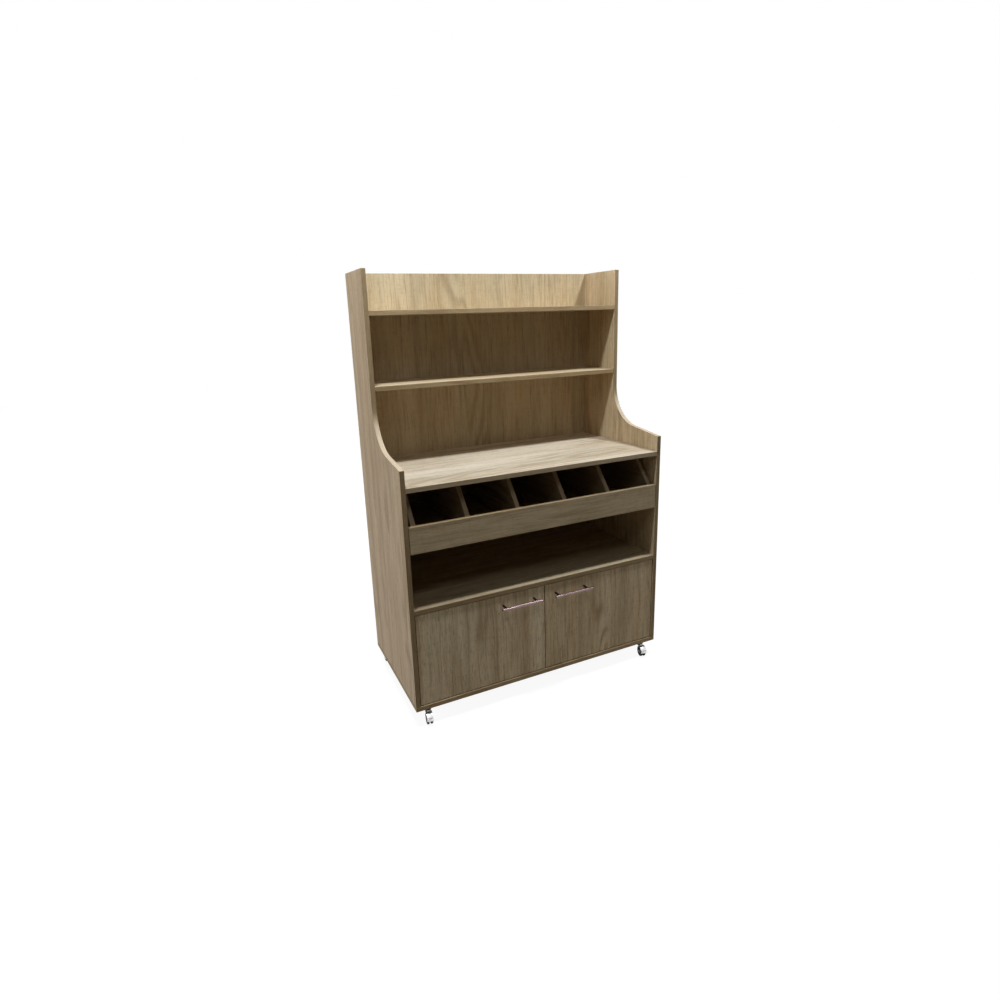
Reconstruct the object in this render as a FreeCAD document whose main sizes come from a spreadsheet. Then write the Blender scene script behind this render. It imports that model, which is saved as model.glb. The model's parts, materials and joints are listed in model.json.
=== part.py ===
import FreeCAD, Part
import math
import os
import Sketcher

# A service cabinet of laminated board on four swivel casters. It has three shelves between curved
# sides, a pull-out cutlery drawer with five open bins, an open bay, and a cupboard with two inset
# doors. Millimetres, +Z up. X runs along the front, Y runs from the front to the back. The origin
# lies on the floor, under the middle of the whole cabinet with its handles.

doc = FreeCAD.newDocument("service_cabinet")

# Driving dimensions. Heights are above the floor, depths run back from the front of the sides.
driving = {
    # Carcass
    "overall_width": 1000,
    "overall_height": 1500,
    "carcass_depth": 500,
    "upper_depth": 225,
    "board_thickness": 16,
    "lip_height": 894,
    "curve_corner_height": 928,
    "curve_radius": 150,
    "worktop_height": 837,
    "top_tray_height": 131,
    "shelf_spacing": 245,
    "cupboard_top_height": 427,
    # Dowels in the board joints, and screws through the back
    "dowel_diameter": 8,
    "dowel_length": 30,
    "dowel_side_depth": 10,
    "back_screw_length": 50,
    "back_screw_diameter": 5,
    "back_screw_head_diameter": 9,
    # Cutlery drawer
    "drawer_front_bottom": 620,
    "drawer_front_height": 90,
    "drawer_front_gap": 2,
    "drawer_rear_gap": 18,
    "drawer_floor_rise": 12,
    "drawer_top_clearance": 6,
    "divider_lean": 88,
    "bin_count": 5,
    # Drawer runners: three nested steel channels at each side
    "runner_gap": 13,
    "runner_height": 45,
    "runner_sheet": 1.2,
    "runner_rise": 4,
    "runner_setback": 3,
    "runner_clearance": 0.4,
    "runner_outer_reach": 9,
    "runner_middle_inset": 2,
    "runner_middle_reach": 8.5,
    "runner_inner_reach": 5.8,
    # Doors and their pivots
    "door_gap": 3,
    "door_recess": 3,
    "pivot_inset": 24,
    "pivot_depth": 7,
    "pin_diameter": 6,
    "pin_grip": 20,
    "pin_reach": 8,
    "bush_diameter": 10,
    "bush_depth": 10,
    "bush_flange_diameter": 14,
    "bush_flange": 1,
    "running_clearance": 0.05,
    "seat_clearance": 0.3,
    # Door handles
    "bar_diameter": 10,
    "bar_length": 156,
    "bar_edge_radius": 1,
    "bar_standoff": 33,
    "bar_drop": 38,
    "bar_offset": 27,
    "post_spacing": 120,
    "post_diameter": 7,
    "handle_screw_diameter": 4,
    "handle_screw_head_diameter": 8,
    "handle_screw_head": 2.5,
    "handle_screw_grip": 10,
    # Magnetic catches and their strike plates
    "catch_width": 46,
    "catch_depth": 14,
    "catch_height": 14,
    "catch_offset": 60,
    "strike_width": 36,
    "strike_height": 12,
    "strike_thickness": 1.2,
    "strike_drop": 2,
    # Casters
    "caster_height": 60,
    "caster_inset_x": 48,
    "caster_inset_y": 28,
    "plate_width": 42,
    "plate_thickness": 2.5,
    "plate_corner_radius": 6,
    "plate_hole_spacing": 32,
    "plate_hole_diameter": 4.5,
    "plate_screw_diameter": 4,
    "plate_screw_head_diameter": 8,
    "plate_screw_head": 2,
    "plate_screw_grip": 12,
    "skirt_diameter": 28,
    "skirt_wall": 2.5,
    "skirt_height": 11.5,
    "kingpin_diameter": 8,
    "kingpin_head_diameter": 11,
    "kingpin_head": 2,
    "kingpin_length": 24,
    "boss_diameter": 21,
    "neck_width": 12,
    "neck_reach": 14,
    "neck_height": 4,
    "wheel_diameter": 40,
    "wheel_width": 8,
    "wheel_inner_gap": 2.2,
    "wheel_edge_radius": 3,
    "wheel_recess_diameter": 27,
    "wheel_recess": 1.5,
    "wheel_trail": 20,
    "axle_diameter": 5,
    "hub_cap_diameter": 12,
    "hub_cap": 2,
    "hood_clearance": 1.5,
    "hood_wall": 2,
    "hood_width": 21,
    "web_thickness": 3.4,
    "web_lobe_diameter": 11,
    # Brake pedals on the front casters
    "pedal_hub_diameter": 5.6,
    "pedal_hub_clearance": 0.6,
    "pedal_pin_diameter": 2.4,
    "pedal_width": 13.4,
    "pedal_length": 11,
    "pedal_drop": 6,
    "pedal_foot_inset": 1.2,
    "pedal_thickness": 2.4,
    "ear_thickness": 2.8,
    "ear_diameter": 6.4,
}

# Angles of the hood's shell and of the brake's pivot, measured about the axle from the horizontal
# behind the wheel, half the angle that the ears take at the shell, and the tread's tilt above level.
hood_angles = {
    "hood_rear_angle": 55,
    "hood_front_angle": 176,
    "pedal_angle": 157,
    "ear_half_angle": 7,
    "pedal_tilt": 25,
}

# How far each caster's wheel is turned about its swivel from pointing straight forward.
headings = {
    "front_left_heading": -8,
    "front_right_heading": -15,
    "rear_left_heading": -45,
    "rear_right_heading": 25,
}

sizes = doc.addObject("Spreadsheet::Sheet", "sizes")
all_sizes = {**driving, **hood_angles, **headings}
for row, (alias, value) in enumerate(all_sizes.items(), start=1):
    sizes.set("A%d" % row, alias)
    sizes.set("B%d" % row, str(value))
    sizes.setAlias("B%d" % row, alias)

# Places that follow from the driving dimensions.
derived = {
    "handle_reach": "sizes.bar_standoff + sizes.bar_diameter / 2 - sizes.door_recess",
    "front_y": "(handle_reach - sizes.carcass_depth) / 2",
    "back_y": "front_y + sizes.carcass_depth",
    "back_inner_y": "back_y - sizes.board_thickness",
    "upper_front_y": "back_y - sizes.upper_depth",
    "half_width": "sizes.overall_width / 2",
    "inner_half": "half_width - sizes.board_thickness",
    "inner_width": "inner_half * 2",
    "base_top": "sizes.caster_height + sizes.board_thickness",
    "top_shelf_height": "sizes.overall_height - sizes.top_tray_height",
    "middle_shelf_height": "top_shelf_height - sizes.shelf_spacing",
    "cupboard_ceiling": "sizes.cupboard_top_height - sizes.board_thickness",
    "worktop_underside": "sizes.worktop_height - sizes.board_thickness",
    # Drawer
    "drawer_front_top": "sizes.drawer_front_bottom + sizes.drawer_front_height",
    "drawer_front_half": "inner_half - sizes.drawer_front_gap",
    "drawer_half": "inner_half - sizes.runner_gap",
    "drawer_inner_half": "drawer_half - sizes.board_thickness",
    "drawer_start_y": "front_y + sizes.board_thickness",
    "drawer_end_y": "back_inner_y - sizes.drawer_rear_gap",
    "drawer_depth": "drawer_end_y - drawer_start_y",
    "drawer_back_y": "drawer_end_y - sizes.board_thickness",
    "drawer_bottom": "sizes.drawer_front_bottom + sizes.drawer_floor_rise",
    "drawer_floor_top": "drawer_bottom + sizes.board_thickness",
    "drawer_top": "worktop_underside - sizes.drawer_top_clearance",
    "divider_pitch": "(drawer_half * 2 - sizes.board_thickness) / sizes.bin_count",
    "runner_middle_z": "drawer_bottom + sizes.runner_rise + sizes.runner_height / 2",
    # Doors
    "door_width": "(inner_width - sizes.door_gap * 3) / 2",
    "door_bottom": "base_top + sizes.door_gap",
    "door_top": "cupboard_ceiling - sizes.door_gap",
    "door_front_y": "front_y + sizes.door_recess",
    "door_back_y": "door_front_y + sizes.board_thickness",
    "pivot_y": "door_front_y + sizes.pivot_depth",
    "pivot_x": "inner_half - sizes.door_gap - sizes.pivot_inset",
    "bar_y": "door_front_y - sizes.bar_standoff",
    "bar_z": "door_top - sizes.bar_drop",
    "bar_middle_x": "sizes.bar_offset + sizes.bar_length / 2",
    # Casters, each in its own frame about its swivel axis
    "caster_x": "half_width - sizes.caster_inset_x",
    "caster_front_y": "front_y + sizes.caster_inset_y",
    "caster_rear_y": "back_y - sizes.caster_inset_y",
    "plate_bottom": "sizes.caster_height - sizes.plate_thickness",
    "kingpin_bottom": "sizes.caster_height - sizes.kingpin_length",
    "boss_bottom": "kingpin_bottom + sizes.kingpin_head + sizes.seat_clearance",
    "boss_top": "plate_bottom - sizes.seat_clearance",
    "wheel_radius": "sizes.wheel_diameter / 2",
    "wheel_outer_x": "sizes.wheel_inner_gap + sizes.wheel_width",
    "shell_inner": "wheel_radius + sizes.hood_clearance",
    "shell_outer": "shell_inner + sizes.hood_wall",
    "pedal_radius": "shell_outer + sizes.pedal_hub_diameter / 2 + sizes.pedal_hub_clearance",
    "pedal_y": "-sizes.wheel_trail + pedal_radius * cos(sizes.pedal_angle * 1 deg)",
    "pedal_z": "wheel_radius + pedal_radius * sin(sizes.pedal_angle * 1 deg)",
    "ear_width": "sizes.pedal_width + sizes.seat_clearance * 2 + sizes.ear_thickness * 2",
}
places = doc.addObject("Spreadsheet::Sheet", "places")
for row, (alias, formula) in enumerate(derived.items(), start=1):
    places.set("A%d" % row, alias)
    places.set("B%d" % row, "=" + formula)
    places.setAlias("B%d" % row, alias)
doc.recompute()

LEFT, RIGHT = -1, 1
ALONG_X = FreeCAD.Vector(1, 0, 0)
ALONG_Y = FreeCAD.Vector(0, 1, 0)
ALONG_Z = FreeCAD.Vector(0, 0, 1)
sub_parts = []
same_length_share = 1e-6


def measure(expression):
    """The number that an expression over the two sheets comes to."""
    return float(sizes.evalExpression(expression))


cabinet_width = measure("sizes.overall_width")


def bind(thing, **expressions):
    for name, expression in expressions.items():
        thing.setExpression(name, expression)


def place(thing, x, y, z):
    """Binds a thing's place to three expressions."""
    for axis, expression in zip("xyz", (x, y, z)):
        thing.setExpression(".Placement.Base." + axis, expression)


def keep(thing):
    """Lists a finished sub-part, whose label names its file."""
    sub_parts.append(thing)
    return thing


def block(label, length, width, height, x, y, z):
    box = doc.addObject("Part::Box", label)
    bind(box, Length=length, Width=width, Height=height)
    place(box, x, y, z)
    return box


def rod(label, radius, length, direction, x, y, z):
    """A cylinder from x, y, z along a direction."""
    cylinder = doc.addObject("Part::Cylinder", label)
    bind(cylinder, Radius=radius, Height=length)
    cylinder.Placement = FreeCAD.Placement(FreeCAD.Vector(), FreeCAD.Rotation(ALONG_Z, direction))
    place(cylinder, x, y, z)
    return cylinder


def cut(label, base, tool):
    result = doc.addObject("Part::Cut", label)
    result.Base = base
    result.Tool = tool
    return result


def gather(label, members):
    """Several separate solids under one name."""
    result = doc.addObject("Part::Compound", label)
    result.Links = members
    return result


def copies(label, solid, stations):
    """Copies of a solid that points along -Z, each at a position and turned to a direction."""
    shapes = []
    for position, direction in stations:
        shape = solid.copy()
        shape.Placement = FreeCAD.Placement(position, FreeCAD.Rotation(-ALONG_Z, direction))
        shapes.append(shape)
    feature = doc.addObject("Part::Feature", label)
    feature.Shape = Part.makeCompound(shapes)
    return feature


def turned(outline):
    """The solid that an outline of radii and heights makes when it turns about the Z axis."""
    corners = [FreeCAD.Vector(radius, 0, height) for radius, height in outline]
    face = Part.Face(Part.makePolygon(corners + corners[:1]))
    return face.revolve(FreeCAD.Vector(), ALONG_Z, 360)


def sketch_on(body, role, name, offset=None):
    """A sketch on one of a body's origin planes, moved along its normal by an offset."""
    sketch = body.newObject("Sketcher::SketchObject", name)
    plane = next(feature for feature in body.Origin.OriginFeatures if feature.Role == role)
    sketch.AttachmentSupport = [(plane, "")]
    sketch.MapMode = "FlatFace"
    if offset:
        sketch.setExpression(".AttachmentOffset.Base.z", offset)
    return sketch


def fix_point(sketch, geometry, end, across, up):
    for kind, expression in (("DistanceX", across), ("DistanceY", up)):
        constraint = Sketcher.Constraint(kind, -1, 1, geometry, end, measure(expression))
        number = sketch.addConstraint(constraint)
        sketch.setExpression("Constraints[%d]" % number, expression)


def polygon(sketch, corners):
    """A closed loop of lines whose corners are held by expressions from the sketch's origin."""
    points = [FreeCAD.Vector(measure(across), measure(up), 0) for across, up in corners]
    followers = points[1:] + points[:1]
    lines = [sketch.addGeometry(Part.LineSegment(start, end)) for start, end in zip(points, followers)]
    for line, follower in zip(lines, lines[1:] + lines[:1]):
        sketch.addConstraint(Sketcher.Constraint("Coincident", line, 2, follower, 1))
    for line, (across, up) in zip(lines, corners):
        fix_point(sketch, line, 1, across, up)


def circle(sketch, radius, across, up):
    centre = FreeCAD.Vector(measure(across), measure(up), 0)
    number = sketch.addGeometry(Part.Circle(centre, ALONG_Z, measure(radius)))
    fix_point(sketch, number, 3, across, up)
    held = sketch.addConstraint(Sketcher.Constraint("Radius", number, measure(radius)))
    sketch.setExpression("Constraints[%d]" % held, radius)


def pad(body, sketch, name, length, middle=False, back=False):
    feature = body.newObject("PartDesign::Pad", name)
    feature.Profile = sketch
    feature.SideType = "Symmetric" if middle else "One side"
    feature.Reversed = back
    bind(feature, Length=length)
    return feature


def pocket(body, sketch, name, length, middle=False, back=False):
    """Cuts a sketch into a body, and says so if nothing was removed."""
    doc.recompute()
    before = body.Shape.Volume
    feature = body.newObject("PartDesign::Pocket", name)
    feature.Profile = sketch
    feature.SideType = "Symmetric" if middle else "One side"
    feature.Reversed = back
    bind(feature, Length=length)
    doc.recompute()
    if body.Shape.Volume >= before:
        raise RuntimeError("pocket %s removed nothing" % name)
    return feature


def fillet(body, base, name, chosen, radius):
    """Rounds the edges of a feature that a test picks."""
    doc.recompute()
    edges = ["Edge%d" % (number + 1) for number, edge in enumerate(base.Shape.Edges) if chosen(edge)]
    feature = body.newObject("PartDesign::Fillet", name)
    feature.Base = (base, edges)
    bind(feature, Radius=radius)
    return feature


def new_body(label):
    return doc.addObject("PartDesign::Body", label)


def same(first, second):
    """Whether two lengths agree to a very small share of the cabinet's width."""
    return abs(first - second) < same_length_share * cabinet_width


# Fasteners and dowels come first, because the boards are cut to take them.

# Each shelf's upper face, and where its front edge lies.
shelf_fronts = {
    "sizes.cupboard_top_height": "places.front_y",
    "sizes.worktop_height": "places.front_y",
    "places.middle_shelf_height": "places.upper_front_y",
    "places.top_shelf_height": "places.upper_front_y",
}
dowel_depth_shares = (0.2, 0.8)
back_screw_width_shares = (-0.9, -0.3, 0.3, 0.9)


def shelf_middle(height):
    return measure("%s - sizes.board_thickness / 2" % height)


def dowel_stations():
    """Where each dowel's end lies in a side or in the base, and which way it runs from there."""
    stations = []
    side_depth = measure("sizes.dowel_side_depth")
    inner_half = measure("places.inner_half")
    back = measure("places.back_inner_y")
    for height, shelf_front in shelf_fronts.items():
        front = measure(shelf_front)
        for share in dowel_depth_shares:
            y = front + share * (back - front)
            z = shelf_middle(height)
            for side in (LEFT, RIGHT):
                stations.append((FreeCAD.Vector(side * (inner_half + side_depth), y, z), -side * ALONG_X))
    front = measure("places.front_y")
    middle_x = measure("places.half_width - sizes.board_thickness / 2")
    foot_z = measure("places.base_top - sizes.dowel_side_depth")
    for share in dowel_depth_shares:
        for side in (LEFT, RIGHT):
            y = front + share * (back - front)
            stations.append((FreeCAD.Vector(side * middle_x, y, foot_z), ALONG_Z))
    return stations


def build_dowels():
    radius = measure("sizes.dowel_diameter / 2")
    length = measure("sizes.dowel_length")
    dowel = turned([(0, 0), (radius, 0), (radius, -length), (0, -length)])
    return keep(copies("carcass_dowels", dowel, dowel_stations()))


def screw(head, neck, head_height, length):
    """A screw along -Z whose head starts at zero: head and neck are radii."""
    return turned([(0, 0), (head, 0), (neck, -head_height), (neck, -length), (0, -length)])


def build_back_screws():
    head = measure("sizes.back_screw_head_diameter / 2")
    neck = measure("sizes.back_screw_diameter / 2")
    solid = screw(head, neck, head - neck, measure("sizes.back_screw_length"))
    back_y = measure("places.back_y")
    inner_half = measure("places.inner_half")
    stations = []
    for height in shelf_fronts:
        for share in back_screw_width_shares:
            head_place = FreeCAD.Vector(share * inner_half, back_y, shelf_middle(height))
            stations.append((head_place, -ALONG_Y))
    return keep(copies("back_screws", solid, stations))


def pan_screw(head, neck, head_height, grip):
    """A pan head screw along -Z: the head ends at zero and the shank runs on for the grip."""
    return turned([(0, head_height), (head, head_height), (head, 0), (neck, 0), (neck, -grip), (0, -grip)])


def build_caster_screws():
    head = measure("sizes.plate_screw_head_diameter / 2")
    neck = measure("sizes.plate_screw_diameter / 2")
    grip = measure("sizes.plate_screw_grip + sizes.plate_thickness")
    solid = pan_screw(head, neck, measure("sizes.plate_screw_head"), grip)
    reach = measure("sizes.plate_hole_spacing / 2")
    stations = []
    for name, (x, y) in casters.items():
        centre = FreeCAD.Vector(measure(x), measure(y), measure("places.plate_bottom"))
        for corner_x in (LEFT, RIGHT):
            for corner_y in (LEFT, RIGHT):
                offset = FreeCAD.Vector(corner_x * reach, corner_y * reach, 0)
                stations.append((centre + offset, ALONG_Z))
    return keep(copies("caster_screws", solid, stations))


def build_pivot_bushes():
    """Flanged bushes for the door pins, two in the base and two in the cupboard's top."""
    outer = measure("sizes.bush_diameter / 2")
    bore = measure("sizes.pin_diameter / 2 + sizes.running_clearance")
    rim = measure("sizes.bush_flange_diameter / 2")
    flange = measure("sizes.bush_flange")
    depth = measure("sizes.bush_depth")
    sleeve = turned([(bore, flange), (rim, flange), (rim, 0), (outer, 0), (outer, -depth), (bore, -depth)])
    seat = turned([(0, 0), (outer, 0), (outer, -depth), (0, -depth)])
    x = measure("places.pivot_x")
    y = measure("places.pivot_y")
    stations = []
    for side in (LEFT, RIGHT):
        stations.append((FreeCAD.Vector(side * x, y, measure("places.base_top")), -ALONG_Z))
        stations.append((FreeCAD.Vector(side * x, y, measure("places.cupboard_ceiling")), ALONG_Z))
    return keep(copies("pivot_bushes", sleeve, stations)), copies("bush_seats", seat, stations)


casters = {
    "front_left": ("-places.caster_x", "places.caster_front_y"),
    "front_right": ("places.caster_x", "places.caster_front_y"),
    "rear_left": ("-places.caster_x", "places.caster_rear_y"),
    "rear_right": ("places.caster_x", "places.caster_rear_y"),
}
dowels = build_dowels()
back_screws = build_back_screws()
caster_screws = build_caster_screws()
pivot_bushes, bush_seats = build_pivot_bushes()


# Carcass boards

def build_side(label, x):
    """A full-height side: deep below, shallow above, with a hollow curve and a sloping lip between."""
    body = new_body(label + "_panel")
    sketch = sketch_on(body, "YZ_Plane", label + "_outline")
    polygon(sketch, [
        ("places.front_y", "places.base_top"),
        ("places.front_y", "sizes.lip_height"),
        ("places.upper_front_y", "sizes.curve_corner_height"),
        ("places.upper_front_y", "sizes.overall_height"),
        ("places.back_y", "sizes.overall_height"),
        ("places.back_y", "places.base_top"),
    ])
    panel = pad(body, sketch, label + "_board", "sizes.board_thickness")

    def at_corner(edge):
        corner_y = measure("places.upper_front_y")
        corner_z = measure("sizes.curve_corner_height")
        return all(same(vertex.Y, corner_y) and same(vertex.Z, corner_z) for vertex in edge.Vertexes)

    fillet(body, panel, label + "_curve", at_corner, "sizes.curve_radius")
    body.setExpression(".Placement.Base.x", x)
    return keep(cut(label, body, dowels))


def build_shelf(label, height, cutters):
    """A board between the sides, from its own front to the back panel."""
    front = shelf_fronts[height]
    board = block(label + "_board", "places.inner_width", "places.back_inner_y - %s" % front,
                  "sizes.board_thickness", "-places.inner_half", front,
                  "%s - sizes.board_thickness" % height)
    return keep(cut(label, board, gather(label + "_cutters", cutters)))


def build_base():
    board = block("base_panel_board", "sizes.overall_width", "sizes.carcass_depth", "sizes.board_thickness",
                  "-places.half_width", "places.front_y", "sizes.caster_height")
    return keep(cut("base_panel", board, gather("base_cutters", [dowels, caster_screws, bush_seats])))


def build_back():
    board = block("back_panel_board", "places.inner_width", "sizes.board_thickness",
                  "sizes.overall_height - places.base_top", "-places.inner_half", "places.back_inner_y",
                  "places.base_top")
    return keep(cut("back_panel", board, back_screws))


build_side("side_left", "-places.half_width")
build_side("side_right", "places.inner_half")
build_base()
build_back()
build_shelf("cupboard_top", "sizes.cupboard_top_height", [dowels, back_screws, bush_seats])
build_shelf("worktop", "sizes.worktop_height", [dowels, back_screws])
build_shelf("middle_shelf", "places.middle_shelf_height", [dowels, back_screws])
build_shelf("top_shelf", "places.top_shelf_height", [dowels, back_screws])


# Cutlery drawer

def build_drawer_wall(label, x, bottom, back):
    """A board across the bins whose front edge leans back above the drawer's front."""
    body = new_body(label)
    sketch = sketch_on(body, "YZ_Plane", label + "_outline")
    polygon(sketch, [
        ("places.drawer_start_y", bottom),
        ("places.drawer_start_y", "places.drawer_front_top"),
        ("places.drawer_start_y + sizes.divider_lean", "places.drawer_top"),
        (back, "places.drawer_top"),
        (back, bottom),
    ])
    pad(body, sketch, label + "_board", "sizes.board_thickness")
    body.setExpression(".Placement.Base.x", x)
    return keep(body)


def build_drawer():
    keep(block("drawer_front", "places.drawer_front_half * 2", "sizes.board_thickness",
               "sizes.drawer_front_height", "-places.drawer_front_half", "places.front_y",
               "sizes.drawer_front_bottom"))
    keep(block("drawer_floor", "places.drawer_inner_half * 2", "places.drawer_depth",
               "sizes.board_thickness", "-places.drawer_inner_half", "places.drawer_start_y",
               "places.drawer_bottom"))
    keep(block("drawer_back", "places.drawer_inner_half * 2", "sizes.board_thickness",
               "places.drawer_top - places.drawer_floor_top", "-places.drawer_inner_half",
               "places.drawer_back_y", "places.drawer_floor_top"))
    ends = {"drawer_end_left": "-places.drawer_half", "drawer_end_right": "places.drawer_inner_half"}
    for label, x in ends.items():
        build_drawer_wall(label, x, "places.drawer_bottom", "places.drawer_end_y")
    for number in range(1, driving["bin_count"]):
        x = "-places.drawer_half + places.divider_pitch * %d" % number
        build_drawer_wall("bin_divider_%d" % number, x, "places.drawer_floor_top", "places.drawer_back_y")


build_drawer()


# Drawer runners. Each profile runs from the side's inner face towards the drawer, about a middle height.

def channel(web, reach, half_height, sheet):
    """A channel's corners: the web's near face, the free ends of its flanges and half its height."""
    inner_web = "(%s + %s)" % (web, sheet)
    inner_half = "(%s - %s)" % (half_height, sheet)
    return [
        (web, half_height), (reach, half_height), (reach, inner_half), (inner_web, inner_half),
        (inner_web, "-" + inner_half), (reach, "-" + inner_half), (reach, "-" + half_height),
        (web, "-" + half_height),
    ]


def runner_profiles():
    sheet = "sizes.runner_sheet"
    outer_half = "(sizes.runner_height / 2)"
    middle_half = "(%s - %s - sizes.runner_clearance)" % (outer_half, sheet)
    inner_half = "(%s - %s - sizes.runner_clearance)" % (middle_half, sheet)
    outer = channel("0", "sizes.runner_outer_reach", outer_half, sheet)
    start = "sizes.runner_middle_inset"
    end = "(%s + sizes.runner_middle_reach)" % start
    web_start = "(%s + (sizes.runner_middle_reach - %s) / 2)" % (start, sheet)
    web_end = "(%s + %s)" % (web_start, sheet)
    step = "(%s - %s)" % (middle_half, sheet)
    middle = [
        (start, middle_half), (end, middle_half), (end, step), (web_end, step), (web_end, "-" + step),
        (end, "-" + step), (end, "-" + middle_half), (start, "-" + middle_half), (start, "-" + step),
        (web_start, "-" + step), (web_start, step), (start, step),
    ]
    face = "sizes.runner_gap"
    inner_reach = "(%s - sizes.runner_inner_reach)" % face
    web_face = "(%s - %s)" % (face, sheet)
    inner_step = "(%s - %s)" % (inner_half, sheet)
    inner = [
        (face, inner_half), (inner_reach, inner_half), (inner_reach, inner_step), (web_face, inner_step),
        (web_face, "-" + inner_step), (inner_reach, "-" + inner_step), (inner_reach, "-" + inner_half),
        (face, "-" + inner_half),
    ]
    return {"runner_outer": outer, "runner_middle": middle, "runner_inner": inner}


def build_runner(label, profile):
    """One member of the runners, once at each side."""
    members = []
    for side, name in ((LEFT, "left"), (RIGHT, "right")):
        body = new_body("%s_%s" % (label, name))
        sketch = sketch_on(body, "XZ_Plane", "%s_%s_profile" % (label, name))
        direction = "" if side == LEFT else "-"
        polygon(sketch, [("%s(%s)" % (direction, across), up) for across, up in profile])
        pad(body, sketch, "%s_%s_length" % (label, name), "places.drawer_depth", back=True)
        place(body, "places.inner_half * %d" % side, "places.drawer_start_y + sizes.runner_setback",
              "places.runner_middle_z")
        members.append(body)
    return keep(gather(label, members))


for runner_label, runner_profile in runner_profiles().items():
    build_runner(runner_label, runner_profile)


# Doors, with their pivot pins, handles and strike plates

def build_door(side, name):
    sign = "-" if side == LEFT else ""
    near_x = "sizes.door_gap / 2"
    board_x = "-%s - places.door_width" % near_x if side == LEFT else near_x
    board = block("door_%s_board" % name, "places.door_width", "sizes.board_thickness",
                  "places.door_top - places.door_bottom", board_x, "places.door_front_y",
                  "places.door_bottom")
    pins = build_pins(sign, name)
    screws = build_handle_screws(side, name)
    build_handle(side, sign, name, screws)
    keep(block("strike_plate_%s" % name, "sizes.strike_width", "sizes.strike_thickness",
               "sizes.strike_height", "%ssizes.catch_offset - sizes.strike_width / 2" % sign,
               "places.door_back_y",
               "places.door_top - sizes.strike_drop - sizes.strike_height"))
    return keep(cut("door_" + name, board, gather("door_%s_cutters" % name, [pins, screws])))


def build_pins(sign, name):
    """The door turns on a pin in its bottom edge and one in its top edge."""
    x = sign + "places.pivot_x"
    length = "sizes.pin_grip + sizes.door_gap + sizes.pin_reach"
    lower = rod("pivot_pin_lower_" + name, "sizes.pin_diameter / 2", length, ALONG_Z, x, "places.pivot_y",
                "places.base_top - sizes.pin_reach")
    upper = rod("pivot_pin_upper_" + name, "sizes.pin_diameter / 2", length, ALONG_Z, x, "places.pivot_y",
                "places.door_top - sizes.pin_grip")
    return keep(gather("pivot_pins_" + name, [lower, upper]))


def build_handle_screws(side, name):
    head = measure("sizes.handle_screw_head_diameter / 2")
    neck = measure("sizes.handle_screw_diameter / 2")
    grip = measure("sizes.board_thickness + sizes.handle_screw_grip")
    solid = pan_screw(head, neck, measure("sizes.handle_screw_head"), grip)
    middle = side * measure("places.bar_middle_x")
    back = measure("places.door_back_y")
    height = measure("places.bar_z")
    reach = measure("sizes.post_spacing / 2")
    stations = [(FreeCAD.Vector(middle + post * reach, back, height), -ALONG_Y) for post in (LEFT, RIGHT)]
    return keep(copies("handle_screws_" + name, solid, stations))


def build_handle(side, sign, name, screws):
    """A round bar on two posts that are hollowed to hold it."""
    bar = new_body("handle_bar_" + name)
    sketch = sketch_on(bar, "YZ_Plane", "handle_bar_%s_section" % name)
    circle(sketch, "sizes.bar_diameter / 2", "places.bar_y", "places.bar_z")
    round_bar = pad(bar, sketch, "handle_bar_%s_length" % name, "sizes.bar_length", middle=True)
    fillet(bar, round_bar, "handle_bar_%s_ends" % name, Part.Edge.isClosed, "sizes.bar_edge_radius")
    bar.setExpression(".Placement.Base.x", sign + "places.bar_middle_x")
    posts = []
    for post, end in ((LEFT, "near"), (RIGHT, "far")):
        x = "%splaces.bar_middle_x + sizes.post_spacing / 2 * %d" % (sign, post)
        posts.append(rod("post_%s_%s" % (end, name), "sizes.post_diameter / 2", "sizes.bar_standoff",
                         ALONG_Y, x, "places.bar_y", "places.bar_z"))
    cutters = gather("post_cutters_" + name, [bar, screws])
    keep(bar)
    return keep(cut("handle_posts_" + name, gather("post_rods_" + name, posts), cutters))


def build_catches():
    """Magnetic catches under the cupboard's top, which the closed doors rest against."""
    members = []
    for sign, name in (("-", "left"), ("", "right")):
        members.append(block("catch_" + name, "sizes.catch_width", "sizes.catch_depth", "sizes.catch_height",
                             "%ssizes.catch_offset - sizes.catch_width / 2" % sign,
                             "places.door_back_y + sizes.strike_thickness + sizes.seat_clearance",
                             "places.cupboard_ceiling - sizes.catch_height"))
    return keep(gather("catch_bodies", members))


build_door(LEFT, "left")
build_door(RIGHT, "right")
build_catches()


# Casters. Each piece is drawn about the swivel axis with the wheel pointing forward, then turned.

def stand(body, name, turns=True):
    x, y = casters[name]
    if turns:
        heading = "sizes.%s_heading" % name
        body.Placement.Rotation = FreeCAD.Rotation(ALONG_Z, measure(heading))
        body.setExpression(".Placement.Rotation.Angle", heading)
    place(body, x, y, "0")


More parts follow.
